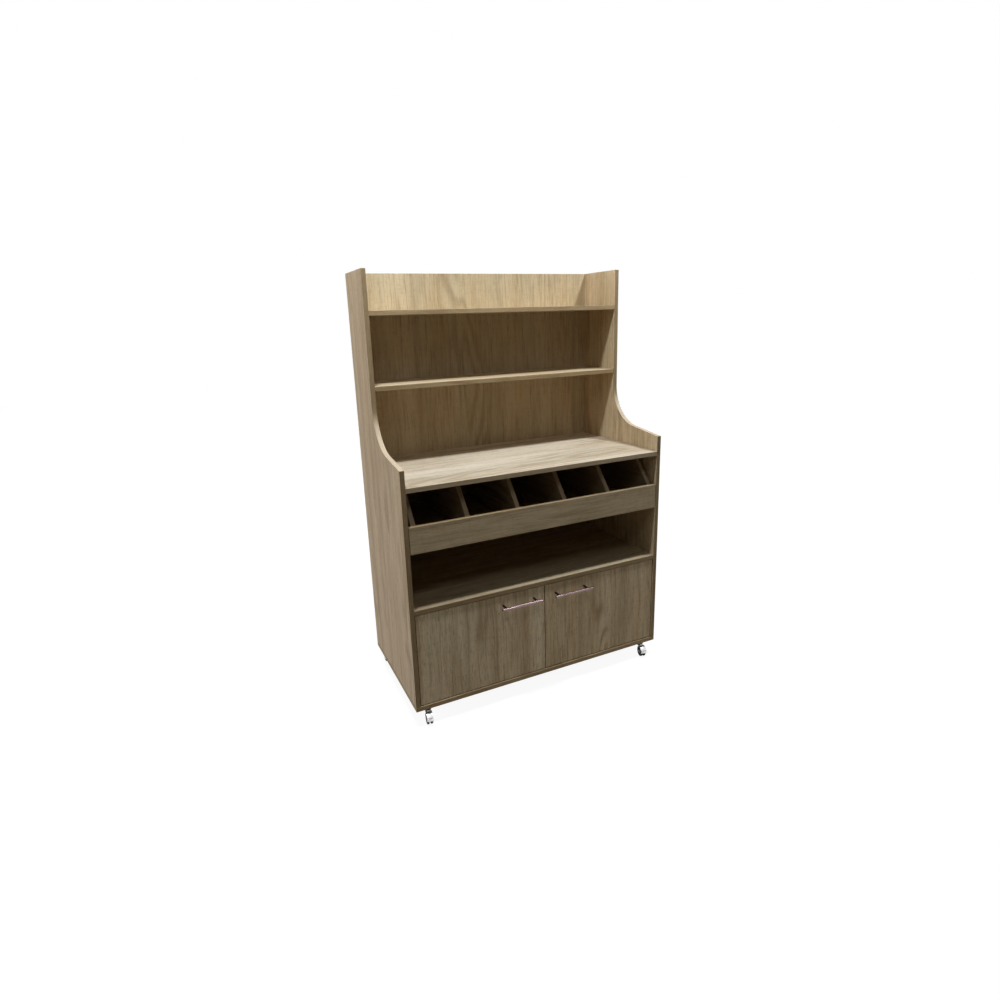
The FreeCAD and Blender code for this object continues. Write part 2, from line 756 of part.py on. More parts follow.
def build_caster_plate(name):
    """A steel plate with four screw holes and a round skirt over the swivel."""
    label = "caster_plate_" + name
    body = new_body(label)
    sketch = sketch_on(body, "XY_Plane", label + "_outline", "places.plate_bottom")
    half = "sizes.plate_width / 2"
    polygon(sketch, [("-" + half, "-" + half), (half, "-" + half), (half, half), ("-" + half, half)])
    circle(sketch, "sizes.kingpin_diameter / 2", "0", "0")
    reach = "sizes.plate_hole_spacing / 2"
    for across in ("-" + reach, reach):
        for up in ("-" + reach, reach):
            circle(sketch, "sizes.plate_hole_diameter / 2", across, up)
    plate = pad(body, sketch, label + "_sheet", "sizes.plate_thickness")

    def upright(edge):
        ends = edge.Vertexes
        return len(ends) == 2 and same(ends[0].X, ends[1].X) and same(ends[0].Y, ends[1].Y)

    fillet(body, plate, label + "_corners", upright, "sizes.plate_corner_radius")
    ring = sketch_on(body, "XY_Plane", label + "_skirt_ring", "places.plate_bottom - sizes.skirt_height")
    circle(ring, "sizes.skirt_diameter / 2", "0", "0")
    circle(ring, "sizes.skirt_diameter / 2 - sizes.skirt_wall", "0", "0")
    pad(body, ring, label + "_skirt", "sizes.skirt_height")
    stand(body, name, turns=False)
    return keep(body)


def build_kingpin(name):
    """The rivet that holds the hood under the plate, with its head at the bottom."""
    label = "caster_kingpin_" + name
    body = new_body(label)
    head = sketch_on(body, "XY_Plane", label + "_head_ring", "places.kingpin_bottom")
    circle(head, "sizes.kingpin_head_diameter / 2", "0", "0")
    pad(body, head, label + "_head", "sizes.kingpin_head")
    shank = sketch_on(body, "XY_Plane", label + "_shank_ring", "places.kingpin_bottom")
    circle(shank, "sizes.kingpin_diameter / 2", "0", "0")
    pad(body, shank, label + "_shank", "sizes.kingpin_length")
    stand(body, name, turns=False)
    return keep(body)


def arc_point(radius, angle):
    """Where an angle about the axle lies on a radius, in the wheel's plane."""
    across = "-sizes.wheel_trail + %s * cos(sizes.%s * 1 deg)" % (radius, angle)
    up = "places.wheel_radius + %s * sin(sizes.%s * 1 deg)" % (radius, angle)
    return across, up


def arc(sketch, radius, start, end):
    centre = FreeCAD.Vector(measure("-sizes.wheel_trail"), measure("places.wheel_radius"), 0)
    rim = Part.Circle(centre, ALONG_Z, measure(radius))
    first = math.radians(measure("sizes." + start))
    last = math.radians(measure("sizes." + end))
    return sketch.addGeometry(Part.ArcOfCircle(rim, first, last))


def line(sketch, start, end):
    points = [FreeCAD.Vector(measure(across), measure(up), 0) for across, up in (start, end)]
    return sketch.addGeometry(Part.LineSegment(*points))


def hood_shell(sketch):
    """A band round the wheels from behind the swivel, over the top and down the front."""
    outer = arc(sketch, "places.shell_outer", "hood_rear_angle", "hood_front_angle")
    inner = arc(sketch, "places.shell_inner", "hood_rear_angle", "hood_front_angle")
    rear = line(sketch, arc_point("places.shell_inner", "hood_rear_angle"),
                arc_point("places.shell_outer", "hood_rear_angle"))
    front = line(sketch, arc_point("places.shell_outer", "hood_front_angle"),
                 arc_point("places.shell_inner", "hood_front_angle"))
    joints = ((rear, 1, inner, 1), (rear, 2, outer, 1), (front, 1, outer, 2), (front, 2, inner, 2))
    for first, first_end, second, second_end in joints:
        sketch.addConstraint(Sketcher.Constraint("Coincident", first, first_end, second, second_end))
    for edge in (outer, inner):
        fix_point(sketch, edge, 3, "-sizes.wheel_trail", "places.wheel_radius")
    fix_point(sketch, rear, 1, *arc_point("places.shell_inner", "hood_rear_angle"))
    fix_point(sketch, rear, 2, *arc_point("places.shell_outer", "hood_rear_angle"))
    for edge, angle in ((inner, "hood_front_angle"), (outer, "hood_front_angle")):
        radius = "places.shell_inner" if edge == inner else "places.shell_outer"
        up = arc_point(radius, angle)[1]
        number = sketch.addConstraint(Sketcher.Constraint("DistanceY", -1, 1, edge, 2, measure(up)))
        sketch.setExpression("Constraints[%d]" % number, up)


def hood_web(sketch):
    """The sector between the wheels that carries the axle from the shell."""
    radius = "(places.shell_inner + sizes.hood_wall / 2)"
    rim = arc(sketch, radius, "hood_rear_angle", "hood_front_angle")
    centre = ("-sizes.wheel_trail", "places.wheel_radius")
    start = line(sketch, centre, arc_point(radius, "hood_rear_angle"))
    end = line(sketch, arc_point(radius, "hood_front_angle"), centre)
    joints = ((start, 2, rim, 1), (end, 1, rim, 2), (end, 2, start, 1))
    for first, first_end, second, second_end in joints:
        sketch.addConstraint(Sketcher.Constraint("Coincident", first, first_end, second, second_end))
    fix_point(sketch, rim, 3, *centre)
    sketch.addConstraint(Sketcher.Constraint("Coincident", start, 1, rim, 3))
    fix_point(sketch, start, 2, *arc_point(radius, "hood_rear_angle"))
    up = arc_point(radius, "hood_front_angle")[1]
    number = sketch.addConstraint(Sketcher.Constraint("DistanceY", -1, 1, rim, 2, measure(up)))
    sketch.setExpression("Constraints[%d]" % number, up)


def build_hood(name, braked):
    """The swivelling body: a boss on the kingpin, a neck, the shell, the web and the brake's ears."""
    label = "caster_hood_" + name
    body = new_body(label)
    shell = sketch_on(body, "YZ_Plane", label + "_shell_outline")
    hood_shell(shell)
    pad(body, shell, label + "_shell", "sizes.hood_width", middle=True)
    web = sketch_on(body, "YZ_Plane", label + "_web_outline")
    hood_web(web)
    pad(body, web, label + "_web", "sizes.web_thickness", middle=True)
    lobe = sketch_on(body, "YZ_Plane", label + "_lobe_outline")
    circle(lobe, "sizes.web_lobe_diameter / 2", "-sizes.wheel_trail", "places.wheel_radius")
    pad(body, lobe, label + "_lobe", "sizes.web_thickness", middle=True)
    neck = sketch_on(body, "YZ_Plane", label + "_neck_outline")
    neck_bottom = "places.wheel_radius + places.shell_inner"
    neck_top = neck_bottom + " + sizes.neck_height"
    polygon(neck, [("-sizes.neck_reach", neck_bottom), ("0", neck_bottom),
                   ("0", neck_top), ("-sizes.neck_reach", neck_top)])
    pad(body, neck, label + "_neck", "sizes.neck_width", middle=True)
    boss = sketch_on(body, "XY_Plane", label + "_boss_ring", "places.boss_bottom")
    circle(boss, "sizes.boss_diameter / 2", "0", "0")
    pad(body, boss, label + "_boss", "places.boss_top - places.boss_bottom")
    bore = sketch_on(body, "XY_Plane", label + "_bore_ring", "places.boss_bottom")
    circle(bore, "sizes.kingpin_diameter / 2 + sizes.running_clearance", "0", "0")
    pocket(body, bore, label + "_bore", "places.boss_top - places.boss_bottom", back=True)
    if braked:
        build_ears(body, label)
    axle = sketch_on(body, "YZ_Plane", label + "_axle_ring")
    bore = "sizes.axle_diameter / 2 + sizes.running_clearance"
    circle(axle, bore, "-sizes.wheel_trail", "places.wheel_radius")
    pocket(body, axle, label + "_axle_bore", "sizes.web_thickness", middle=True)
    stand(body, name)
    return keep(body)


def polar(radius, angle):
    """Where a radius and an angle in degrees, both as expressions, lie about the axle."""
    across = "-sizes.wheel_trail + (%s) * cos((%s) * 1 deg)" % (radius, angle)
    up = "places.wheel_radius + (%s) * sin((%s) * 1 deg)" % (radius, angle)
    return across, up


def build_ears(body, label):
    """Two ears on the shell, on either side of the pedal, with the bore of its pin."""
    root = "places.shell_inner + sizes.hood_wall / 2"
    half = "sizes.ear_diameter / 2"
    low, high = "sizes.pedal_angle + sizes.ear_half_angle", "sizes.pedal_angle - sizes.ear_half_angle"
    outline = [polar(root, high), polar(root, low)]
    for ahead, above in (("-", "+"), ("+", "-")):
        across = "places.pedal_y %s %s * sin(sizes.pedal_angle * 1 deg)" % (ahead, half)
        up = "places.pedal_z %s %s * cos(sizes.pedal_angle * 1 deg)" % (above, half)
        outline.append((across, up))
    inner_face = "sizes.pedal_width / 2 + sizes.seat_clearance"
    for side, hand in ((LEFT, "a"), (RIGHT, "b")):
        offset = "(%s) * %d" % (inner_face, side)
        arm = sketch_on(body, "YZ_Plane", "%s_ear_outline_%s" % (label, hand), offset)
        polygon(arm, outline)
        pad(body, arm, "%s_ear_%s" % (label, hand), "sizes.ear_thickness", back=side == LEFT)
        tip = sketch_on(body, "YZ_Plane", "%s_ear_tip_%s" % (label, hand), offset)
        circle(tip, half, "places.pedal_y", "places.pedal_z")
        pad(body, tip, "%s_ear_round_%s" % (label, hand), "sizes.ear_thickness", back=side == LEFT)
    pin = sketch_on(body, "YZ_Plane", label + "_pin_ring")
    circle(pin, "sizes.pedal_pin_diameter / 2 + sizes.running_clearance", "places.pedal_y", "places.pedal_z")
    pocket(body, pin, label + "_pin_bore", "places.ear_width", middle=True)


def build_wheels(name):
    """Two narrow wheels side by side, each with a shallow dish in its outer face."""
    members = []
    for side, hand in ((LEFT, "a"), (RIGHT, "b")):
        label = "caster_wheel_%s_%s" % (name, hand)
        body = new_body(label)
        near = "sizes.wheel_inner_gap * %d" % side
        disc = sketch_on(body, "YZ_Plane", label + "_disc_ring", near)
        circle(disc, "places.wheel_radius", "-sizes.wheel_trail", "places.wheel_radius")
        circle(disc, "sizes.axle_diameter / 2", "-sizes.wheel_trail", "places.wheel_radius")
        wheel = pad(body, disc, label + "_disc", "sizes.wheel_width", back=side == LEFT)

        def on_tread(edge):
            return edge.isClosed() and same(edge.Curve.Radius, measure("places.wheel_radius"))

        fillet(body, wheel, label + "_shoulders", on_tread, "sizes.wheel_edge_radius")
        dish = sketch_on(body, "YZ_Plane", label + "_dish_ring", "places.wheel_outer_x * %d" % side)
        circle(dish, "sizes.wheel_recess_diameter / 2", "-sizes.wheel_trail", "places.wheel_radius")
        pocket(body, dish, label + "_dish", "sizes.wheel_recess", back=side == LEFT)
        stand(body, name)
        members.append(body)
    return keep(gather("caster_wheels_" + name, members))


def build_axle(name):
    """An axle pressed into both wheels, with a cap at each end that sits in the wheel's dish."""
    label = "caster_axle_" + name
    body = new_body(label)
    cap_inner = "(places.wheel_outer_x - sizes.wheel_recess)"
    shaft = sketch_on(body, "YZ_Plane", label + "_shaft_ring")
    circle(shaft, "sizes.axle_diameter / 2", "-sizes.wheel_trail", "places.wheel_radius")
    pad(body, shaft, label + "_shaft", cap_inner + " * 2", middle=True)
    for side, hand in ((LEFT, "a"), (RIGHT, "b")):
        ring = sketch_on(body, "YZ_Plane", "%s_cap_ring_%s" % (label, hand), "%s * %d" % (cap_inner, side))
        circle(ring, "sizes.hub_cap_diameter / 2", "-sizes.wheel_trail", "places.wheel_radius")
        pad(body, ring, "%s_cap_%s" % (label, hand), "sizes.hub_cap", back=side == LEFT)
    stand(body, name)
    return keep(body)


def build_pedal(name):
    """A rocker pedal whose hub and pin turn between the hood's ears."""
    label = "brake_pedal_" + name
    body = new_body(label)
    hub = sketch_on(body, "YZ_Plane", label + "_hub_ring")
    circle(hub, "sizes.pedal_hub_diameter / 2", "places.pedal_y", "places.pedal_z")
    pad(body, hub, label + "_hub", "sizes.pedal_width", middle=True)
    tread = sketch_on(body, "YZ_Plane", label + "_tread_outline")
    top = "sizes.pedal_hub_diameter / 2"
    low = "(sizes.pedal_hub_diameter / 2 - sizes.pedal_thickness)"
    tilt = "sizes.pedal_tilt * 1 deg"
    foot = "places.pedal_z - sizes.pedal_drop"
    corners = [("places.pedal_y", "places.pedal_z")]
    for reach, rise in (("0", top), ("sizes.pedal_length", top), ("sizes.pedal_length", low)):
        across = "places.pedal_y - %s * cos(%s) + %s * sin(%s)" % (reach, tilt, rise, tilt)
        up = "places.pedal_z + %s * sin(%s) + %s * cos(%s)" % (reach, tilt, rise, tilt)
        corners.append((across, up))
    corners.append(("places.pedal_y - sizes.pedal_foot_inset - sizes.pedal_thickness", foot))
    corners.append(("places.pedal_y - sizes.pedal_foot_inset", foot))
    polygon(tread, corners)
    pad(body, tread, label + "_tread", "sizes.pedal_width", middle=True)
    pin = sketch_on(body, "YZ_Plane", label + "_pin_ring")
    circle(pin, "sizes.pedal_pin_diameter / 2", "places.pedal_y", "places.pedal_z")
    pad(body, pin, label + "_pin", "places.ear_width", middle=True)
    stand(body, name)
    return keep(body)


for caster_name in casters:
    is_front = caster_name.startswith("front")
    build_caster_plate(caster_name)
    build_kingpin(caster_name)
    build_hood(caster_name, is_front)
    build_wheels(caster_name)
    build_axle(caster_name)
    if is_front:
        build_pedal(caster_name)

doc.recompute()

# Nothing is written unless every object is sound.
faults = [thing.Label for thing in doc.Objects if "Invalid" in thing.State or "Error" in thing.State]
faults += [part.Label for part in sub_parts if part.Shape.isNull() or not part.Shape.isValid()]
if faults:
    raise RuntimeError("unsound objects: " + ", ".join(faults))

os.makedirs("parts", exist_ok=True)
for part in sub_parts:
    part.Shape.exportStep("parts/%s.step" % part.Label)
print(len(sub_parts), "sub-parts written")
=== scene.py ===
# %% [markdown]
# # A service cabinet on casters
# The cabinet is a waiter station of oak-pattern laminated board: shelves between curved sides, a
# worktop, a pull-out drawer of cutlery bins, an open bay and a cupboard with two doors. The solids
# come from CAD and already have their true shapes, so this lesson gives them finishes, rounds their
# edges, and models the small hardware that CAD leaves plain. Everything is in metres, in one frame:
# +Z is up, X runs along the front, and Y runs from the front to the back.

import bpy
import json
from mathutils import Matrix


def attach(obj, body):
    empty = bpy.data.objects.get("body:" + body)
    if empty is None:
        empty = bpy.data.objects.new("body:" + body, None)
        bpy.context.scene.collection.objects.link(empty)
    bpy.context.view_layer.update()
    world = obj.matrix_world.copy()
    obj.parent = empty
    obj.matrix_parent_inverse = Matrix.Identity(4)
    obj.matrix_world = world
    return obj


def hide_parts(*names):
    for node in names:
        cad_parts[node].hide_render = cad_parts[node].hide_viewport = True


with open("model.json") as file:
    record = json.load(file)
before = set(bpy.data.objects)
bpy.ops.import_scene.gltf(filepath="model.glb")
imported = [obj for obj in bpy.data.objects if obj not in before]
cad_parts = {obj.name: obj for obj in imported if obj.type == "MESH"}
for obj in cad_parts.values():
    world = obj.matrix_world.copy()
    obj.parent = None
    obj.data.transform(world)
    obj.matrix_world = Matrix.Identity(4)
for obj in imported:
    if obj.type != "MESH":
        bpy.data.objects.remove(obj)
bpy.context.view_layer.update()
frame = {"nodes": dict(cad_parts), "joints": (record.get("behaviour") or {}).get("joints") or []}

# %% [markdown]
# The CAD nodes and the frame's joints are gathered by name, for the finishes and the hardware below.

# %% Nodes and joints by name
import bpy
import bmesh
import json
import math
from mathutils import Matrix, Vector

nodes = frame["nodes"]
joints = {joint["name"]: joint for joint in frame["joints"]}
print("joints:", len(joints))

# %% [markdown]
# Laminated board is chipboard under a printed paper. The print shows sawn oak: broad tone changes
# from plank to plank, hues that drift between grey-green and warm, nested arches where the saw met
# the rings at a slant, long fine streaks, and short dark pores. A flat picture could show that, but
# a picture has to be unwrapped on every board, and it repeats. Noise textures that are stretched
# along the grain give the same look at any place. They read Object coordinates, so a door carries
# its grain along when it opens.
#
# A small helper keeps the node trees readable: it adds a node, sets its plain values and links its
# inputs. The functions after it each add one node and hand back its output.

# %% A helper for node trees
def add_node(tree, kind, inputs=None, **settings):
    node = tree.nodes.new(kind)
    for name, value in settings.items():
        setattr(node, name, value)
    for name, value in (inputs or {}).items():
        socket = node.inputs[name]
        if isinstance(value, bpy.types.NodeSocket):
            tree.links.new(value, socket)
        else:
            socket.default_value = value
    return node


def calculate(tree, operation, first, second=0.0):
    return add_node(tree, "ShaderNodeMath", {0: first, 1: second}, operation=operation).outputs[0]


def combine(tree, x, y, z):
    return add_node(tree, "ShaderNodeCombineXYZ", {"X": x, "Y": y, "Z": z}).outputs[0]


def noise(tree, vector, detail, roughness=0.5):
    node = add_node(tree, "ShaderNodeTexNoise", {"Vector": vector, "Scale": 1.0, "Detail": detail,
                                                 "Roughness": roughness})
    return node.outputs["Fac"]


def remap(tree, value, low, high, new_low=0.0, new_high=1.0, smooth=True):
    """Takes the range from low to high to the new one, and holds what lies outside at its ends."""
    kind = "SMOOTHSTEP" if smooth else "LINEAR"
    node = add_node(tree, "ShaderNodeMapRange", {"Value": value, "From Min": low, "From Max": high,
                                                 "To Min": new_low, "To Max": new_high},
                    interpolation_type=kind, clamp=True)
    return node.outputs["Result"]


def mix_colour(tree, factor, first, second, blend="MIX"):
    node = add_node(tree, "ShaderNodeMix", data_type="RGBA", blend_type=blend, clamp_factor=True)
    for name, kind, value in (("Factor", "VALUE", factor), ("A", "RGBA", first),
                              ("B", "RGBA", second)):
        socket = next(one for one in node.inputs if one.name == name and one.type == kind)
        if isinstance(value, bpy.types.NodeSocket):
            tree.links.new(value, socket)
        else:
            socket.default_value = value
    return next(socket for socket in node.outputs if socket.type == "RGBA")


print("node helpers ready")

# %% [markdown]
# Every finish starts from the same two nodes, a Principled shader and the material's output. Fine
# marks also need a relief. It comes from a Bump node, which bends the light and not the surface.

# %% Helpers for materials
def set_relief(tree, shader, height, strength, depth):
    """Bump from a height of zero to one."""
    bump = add_node(tree, "ShaderNodeBump", {"Height": height, "Strength": strength,
                                             "Distance": depth})
    tree.links.new(bump.outputs[0], shader.inputs["Normal"])


def new_material(name):
    material = bpy.data.materials.new(name)
    material.use_nodes = True
    material.node_tree.nodes.clear()
    tree = material.node_tree
    shader = add_node(tree, "ShaderNodeBsdfPrincipled")
    add_node(tree, "ShaderNodeOutputMaterial", {"Surface": shader.outputs[0]})
    return material, tree, shader


def srgb(red, green, blue):
    """A colour as it is written on a chart, turned into Blender's linear values."""
    def linear(value):
        share = value / 255
        return share / 12.92 if share <= 0.04045 else ((share + 0.055) / 1.055) ** 2.4
    return (linear(red), linear(green), linear(blue), 1.0)


def opaque(tone):
    return tone + (1.0,)


print("material helpers ready")

# %% [markdown]
# The print is a stack of layers. Some shift the hue: grey-green bands, small warm clouds and broad
# darker shades. The others draw the grain: planks, nested arches, streaks, pores and the faint marks
# of the saw's teeth. The tables hold them all, so the print is tuned here and nowhere else.

# %% The layers of the print
OAK_PALE = srgb(208, 196, 174)
OAK_MIDDLE = srgb(188, 172, 146)
OAK_DARK = srgb(138, 118, 92)
OAK_PORE = srgb(112, 94, 72)
OAK_WARM = srgb(178, 146, 110)
OAK_KHAKI = srgb(180, 172, 150)

# Each layer is a noise: its scales along and across the grain, its detail and its roughness. Its
# number in the list shifts it, so no two layers fall together.
LAYERS = {
    "planks": (0.9, 8.0, 2.0, 0.5),
    "hills": (1.5, 6.5, 1.5, 0.5),
    "arches": (1.3, 5.5, 1.0, 0.5),
    "streaks": (7.0, 170.0, 4.0, 0.66),
    "broad_streaks": (3.0, 48.0, 3.0, 0.6),
    "pores": (34.0, 760.0, 1.0, 0.5),
    "teeth": (150.0, 26.0, 2.0, 0.5),
    "crowds": (2.6, 17.0, 2.0, 0.5),
    "bands": (0.6, 13.0, 2.0, 0.5),
    "clouds": (4.0, 44.0, 3.0, 0.6),
    "shades": (0.45, 15.0, 1.5, 0.5),
}
RING_COUNT = 11.0
WANDER_SCALES = (2.2, 4.0)
WANDER_DETAIL = 3.0
WANDER_WIDTH = 0.018

# The coats of colour in their order: the layer, the noise value where it starts to show and where
# it shows in full, how much of the tint goes in, the tint, whether a board's figure makes it
# stronger, and the limit that it keeps within.
MIDDLE_RANGE = (0.30, 0.70)
PORE_RANGE = (0.58, 0.70)
COATS = [
    ("bands", 0.38, 0.62, 0.36, OAK_KHAKI, False, None),
    ("clouds", 0.48, 0.74, 0.22, OAK_WARM, True, None),
    ("shades", 0.50, 0.68, 0.30, OAK_DARK, True, None),
    ("rings", 0.25, 1.00, 0.50, OAK_DARK, True, "arches"),
    ("broad_streaks", 0.48, 0.75, 0.30, OAK_DARK, True, None),
    ("streaks", 0.47, 0.70, 0.62, OAK_DARK, False, "crowds"),
    ("streaks", 0.50, 0.30, 0.45, OAK_PALE, False, None),
    ("teeth", 0.50, 0.72, 0.11, OAK_DARK, True, None),
    ("pores", *PORE_RANGE, 0.42, OAK_PORE, True, None),
]
# Arches show only in places, and dark streaks stand in crowds with fewer between them.
LIMITS = {"arches": (0.53, 0.64, 0.0, 1.0), "crowds": (0.36, 0.64, 0.30, 1.0)}
print("layers:", len(LAYERS), "coats:", len(COATS))

# %% [markdown]
# Each board has a grain direction and a thickness direction. On the broad faces the streaks are thin
# across the grain. The edges carry a band of print, and there the streaks are thin across the
# board's thickness. The node that tells the two apart reads the normal in Object space, so one
# material serves a whole board. A seed moves each board to another part of the print.

# %% Directions on a board
BROAD_FACE_NORMAL = 0.5
CUT_END_NORMAL = 0.7
ALONG_STEP = 0.73
ACROSS_STEP = 0.417
THICKNESS_STEP = 0.117


def pick(tree, factor, when_zero, when_one):
    """One of two values, by a factor of zero or one."""
    return add_node(tree, "ShaderNodeMix", {0: factor, 2: when_zero, 3: when_one},
                    data_type="FLOAT").outputs[0]


def board_directions(tree, grain, thickness, seed):
    """Places along and across the grain, where the broad faces are, and how far a face looks up."""
    across = next(axis for axis in "XYZ" if axis not in (grain, thickness))
    coordinates = add_node(tree, "ShaderNodeTexCoord").outputs
    place = add_node(tree, "ShaderNodeSeparateXYZ", {"Vector": coordinates["Object"]}).outputs
    normal = add_node(tree, "ShaderNodeSeparateXYZ", {"Vector": coordinates["Normal"]}).outputs
    thickness_part = calculate(tree, "ABSOLUTE", normal[thickness])
    grain_part = calculate(tree, "ABSOLUTE", normal[grain])
    broad = calculate(tree, "GREATER_THAN", thickness_part, BROAD_FACE_NORMAL)
    cut_end = calculate(tree, "GREATER_THAN", grain_part, CUT_END_NORMAL)
    along_plain = calculate(tree, "ADD", place[grain], seed * ALONG_STEP)
    across_plain = calculate(tree, "ADD", place[across], seed * ACROSS_STEP)
    thick_plain = calculate(tree, "ADD", place[thickness], seed * THICKNESS_STEP)
    # On an edge that cuts the grain, the band's own grain runs along the edge.
    along = pick(tree, cut_end, along_plain, across_plain)
    fine = pick(tree, broad, thick_plain, across_plain)
    return along, fine, broad, normal["Z"]


def print_layers(tree, along, fine, seed):
    """The noises of the print by name. The saw's path wanders, and every layer with it."""
    def stretched(across, along_scale, across_scale, shift):
        return combine(tree, calculate(tree, "MULTIPLY", along, along_scale),
                       calculate(tree, "MULTIPLY", across, across_scale), shift)

    wander = noise(tree, stretched(fine, *WANDER_SCALES, seed), WANDER_DETAIL)
    centred = calculate(tree, "SUBTRACT", wander, 0.5)
    bent = calculate(tree, "ADD", fine, calculate(tree, "MULTIPLY", centred, WANDER_WIDTH))
    layers = {}
    for number, (name, values) in enumerate(LAYERS.items(), start=1):
        along_scale, across_scale, detail, roughness = values
        vector = stretched(bent, along_scale, across_scale, seed + number)
        layers[name] = noise(tree, vector, detail, roughness)
    # Contour lines of the hills make the nested rings.
    steps = calculate(tree, "MULTIPLY", layers["hills"], RING_COUNT)
    layers["rings"] = calculate(tree, "MULTIPLY", calculate(tree, "PINGPONG", steps, 0.5), 2.0)
    return layers


print("functions for boards ready")

# %% [markdown]
# The coats go on one over another, and each is mixed in where its layer shows. The whole sheet is
# then toned. The paper is a little yellower than the chart colours. The edge band is toned darker
# than the sheet. On the tall sides the band also carries painted light and shade: it is darker, as
# painted shade, where it faces sideways or down, and paler, as painted light, where it faces up.

# %% Oak-pattern laminate
SHEET_TONE = (1.12, 0.99, 0.80)
EDGE_TONE = (0.71, 0.65, 0.56)
# Edge tones of the tall sides: painted shade where an edge faces sideways or down, painted light
# where it faces up.
PAINTED_SHADE_EDGE_TONE = (0.50, 0.45, 0.38)
PAINTED_LIGHT_EDGE_TONE = (1.13, 1.15, 1.26)
PAINTED_LIGHT_NORMAL_RANGE = (0.10, 0.55)
SHEET_ROUGHNESS = (0.46, 0.60)
SHEET_SHINE = 0.22
STREAK_RELIEF = 0.35
RELIEF_STRENGTH = 0.35
RELIEF_DEPTH = 0.00012


def print_colour(tree, layers, figure):
    """The colour of the print before the sheet is toned."""
    limits = {name: remap(tree, layers[name], *values) for name, values in LIMITS.items()}
    colour = mix_colour(tree, remap(tree, layers["planks"], *MIDDLE_RANGE), OAK_MIDDLE, OAK_PALE)
    for name, start, full, weight, tint, figured, limit in COATS:
        mask = remap(tree, layers[name], start, full)
        if limit:
            mask = calculate(tree, "MULTIPLY", mask, limits[limit])
        share = weight * figure if figured else weight
        colour = mix_colour(tree, calculate(tree, "MULTIPLY", mask, share), colour, tint)
    return colour


def oak_laminate(name, grain, thickness, seed, tone=SHEET_TONE, figure=1.0):
    """Laminated board. A figure above one makes the uneven marks of its print stronger."""
    material, tree, shader = new_material(name)
    along, fine, broad, upward = board_directions(tree, grain, thickness, seed)
    layers = print_layers(tree, along, fine, seed)
    colour = print_colour(tree, layers, figure)
    colour = mix_colour(tree, 1.0, colour, opaque(tone), blend="MULTIPLY")
    band = opaque(EDGE_TONE)
    # On the tall sides the band is painted shade on edges that face sideways or down and painted
    # light on edges that face up.
    if thickness == "X":
        band = mix_colour(tree, remap(tree, upward, *PAINTED_LIGHT_NORMAL_RANGE), opaque(PAINTED_SHADE_EDGE_TONE),
                          opaque(PAINTED_LIGHT_EDGE_TONE))
    on_edge = calculate(tree, "SUBTRACT", 1.0, broad)
    colour = mix_colour(tree, on_edge, colour, band, blend="MULTIPLY")
    tree.links.new(colour, shader.inputs["Base Color"])

    streaks = layers["streaks"]
    roughness = remap(tree, streaks, *MIDDLE_RANGE, *SHEET_ROUGHNESS, smooth=False)
    tree.links.new(roughness, shader.inputs["Roughness"])
    shader.inputs["Specular IOR Level"].default_value = SHEET_SHINE
    pores = remap(tree, layers["pores"], *PORE_RANGE)
    height = calculate(tree, "SUBTRACT", calculate(tree, "MULTIPLY", streaks, STREAK_RELIEF), pores)
    set_relief(tree, shader, height, RELIEF_STRENGTH, RELIEF_DEPTH)
    return material


print("laminate ready")

# %% [markdown]
# Some boards get tones of their own, and these are painted light and shade on one laminate: the
# back, the cupboard's top and the drawer front are darker as painted shade, the worktop and the
# doors are paler as painted light, and the drawer's other boards and the bins are much darker, as
# painted shade deep inside the drawer. The doors' print has the strongest figure. A finish goes into
# a CAD node's material slots, and the node's mesh stays as it is.

# %% Dress the boards
BOARDS = {
    "side_left": ("Z", "X"), "side_right": ("Z", "X"), "back_panel": ("Z", "Y"),
    "base_panel": ("X", "Z"), "cupboard_top": ("X", "Z"), "worktop": ("X", "Z"),
    "middle_shelf": ("X", "Z"), "top_shelf": ("X", "Z"),
    "door_left": ("Z", "Y"), "door_right": ("Z", "Y"),
    "drawer_front": ("X", "Y"), "drawer_back": ("X", "Y"), "drawer_floor": ("X", "Z"),
    "drawer_end_left": ("Y", "X"), "drawer_end_right": ("Y", "X"),
    "bin_divider_1": ("Y", "X"), "bin_divider_2": ("Y", "X"),
    "bin_divider_3": ("Y", "X"), "bin_divider_4": ("Y", "X"),
}
# Painted shade: the bins and the drawer's boards behind its front are toned dark.
PAINTED_SHADE_BIN_TONE = (0.70, 0.60, 0.46)
# Painted light and shade: paler tones for the worktop and the doors, darker ones for the back, the
# cupboard's top and the drawer front.
PAINTED_LIGHT_AND_SHADE_TONES = {
    "back_panel": (0.97, 0.87, 0.69), "worktop": (1.24, 1.18, 1.13),
    "drawer_front": (1.02, 0.92, 0.75), "cupboard_top": (0.90, 0.79, 0.63),
    "door_left": (1.42, 1.30, 1.14), "door_right": (1.38, 1.24, 1.04),
}
DOOR_FIGURE = 1.5
SEED_STEP = 1.7


def dress(node_name, material):
    """Gives a CAD node a finish through its material slots."""
    node = nodes[node_name]
    if not node.material_slots:
        node.data.materials.append(material)
    for slot in node.material_slots:
        slot.material = material


# Each board takes its tone of painted light or shade where it has one, and the usual sheet tone
# otherwise.
for number, (board, (grain, thickness)) in enumerate(BOARDS.items(), start=1):
    default_tone = PAINTED_SHADE_BIN_TONE if board.startswith(("bin_", "drawer_")) else SHEET_TONE
    figure = DOOR_FIGURE if board.startswith("door_") else 1.0
    dress(board, oak_laminate("oak_" + board, grain, thickness, number * SEED_STEP,
                              PAINTED_LIGHT_AND_SHADE_TONES.get(board, default_tone), figure))
print("boards finished:", len(BOARDS))

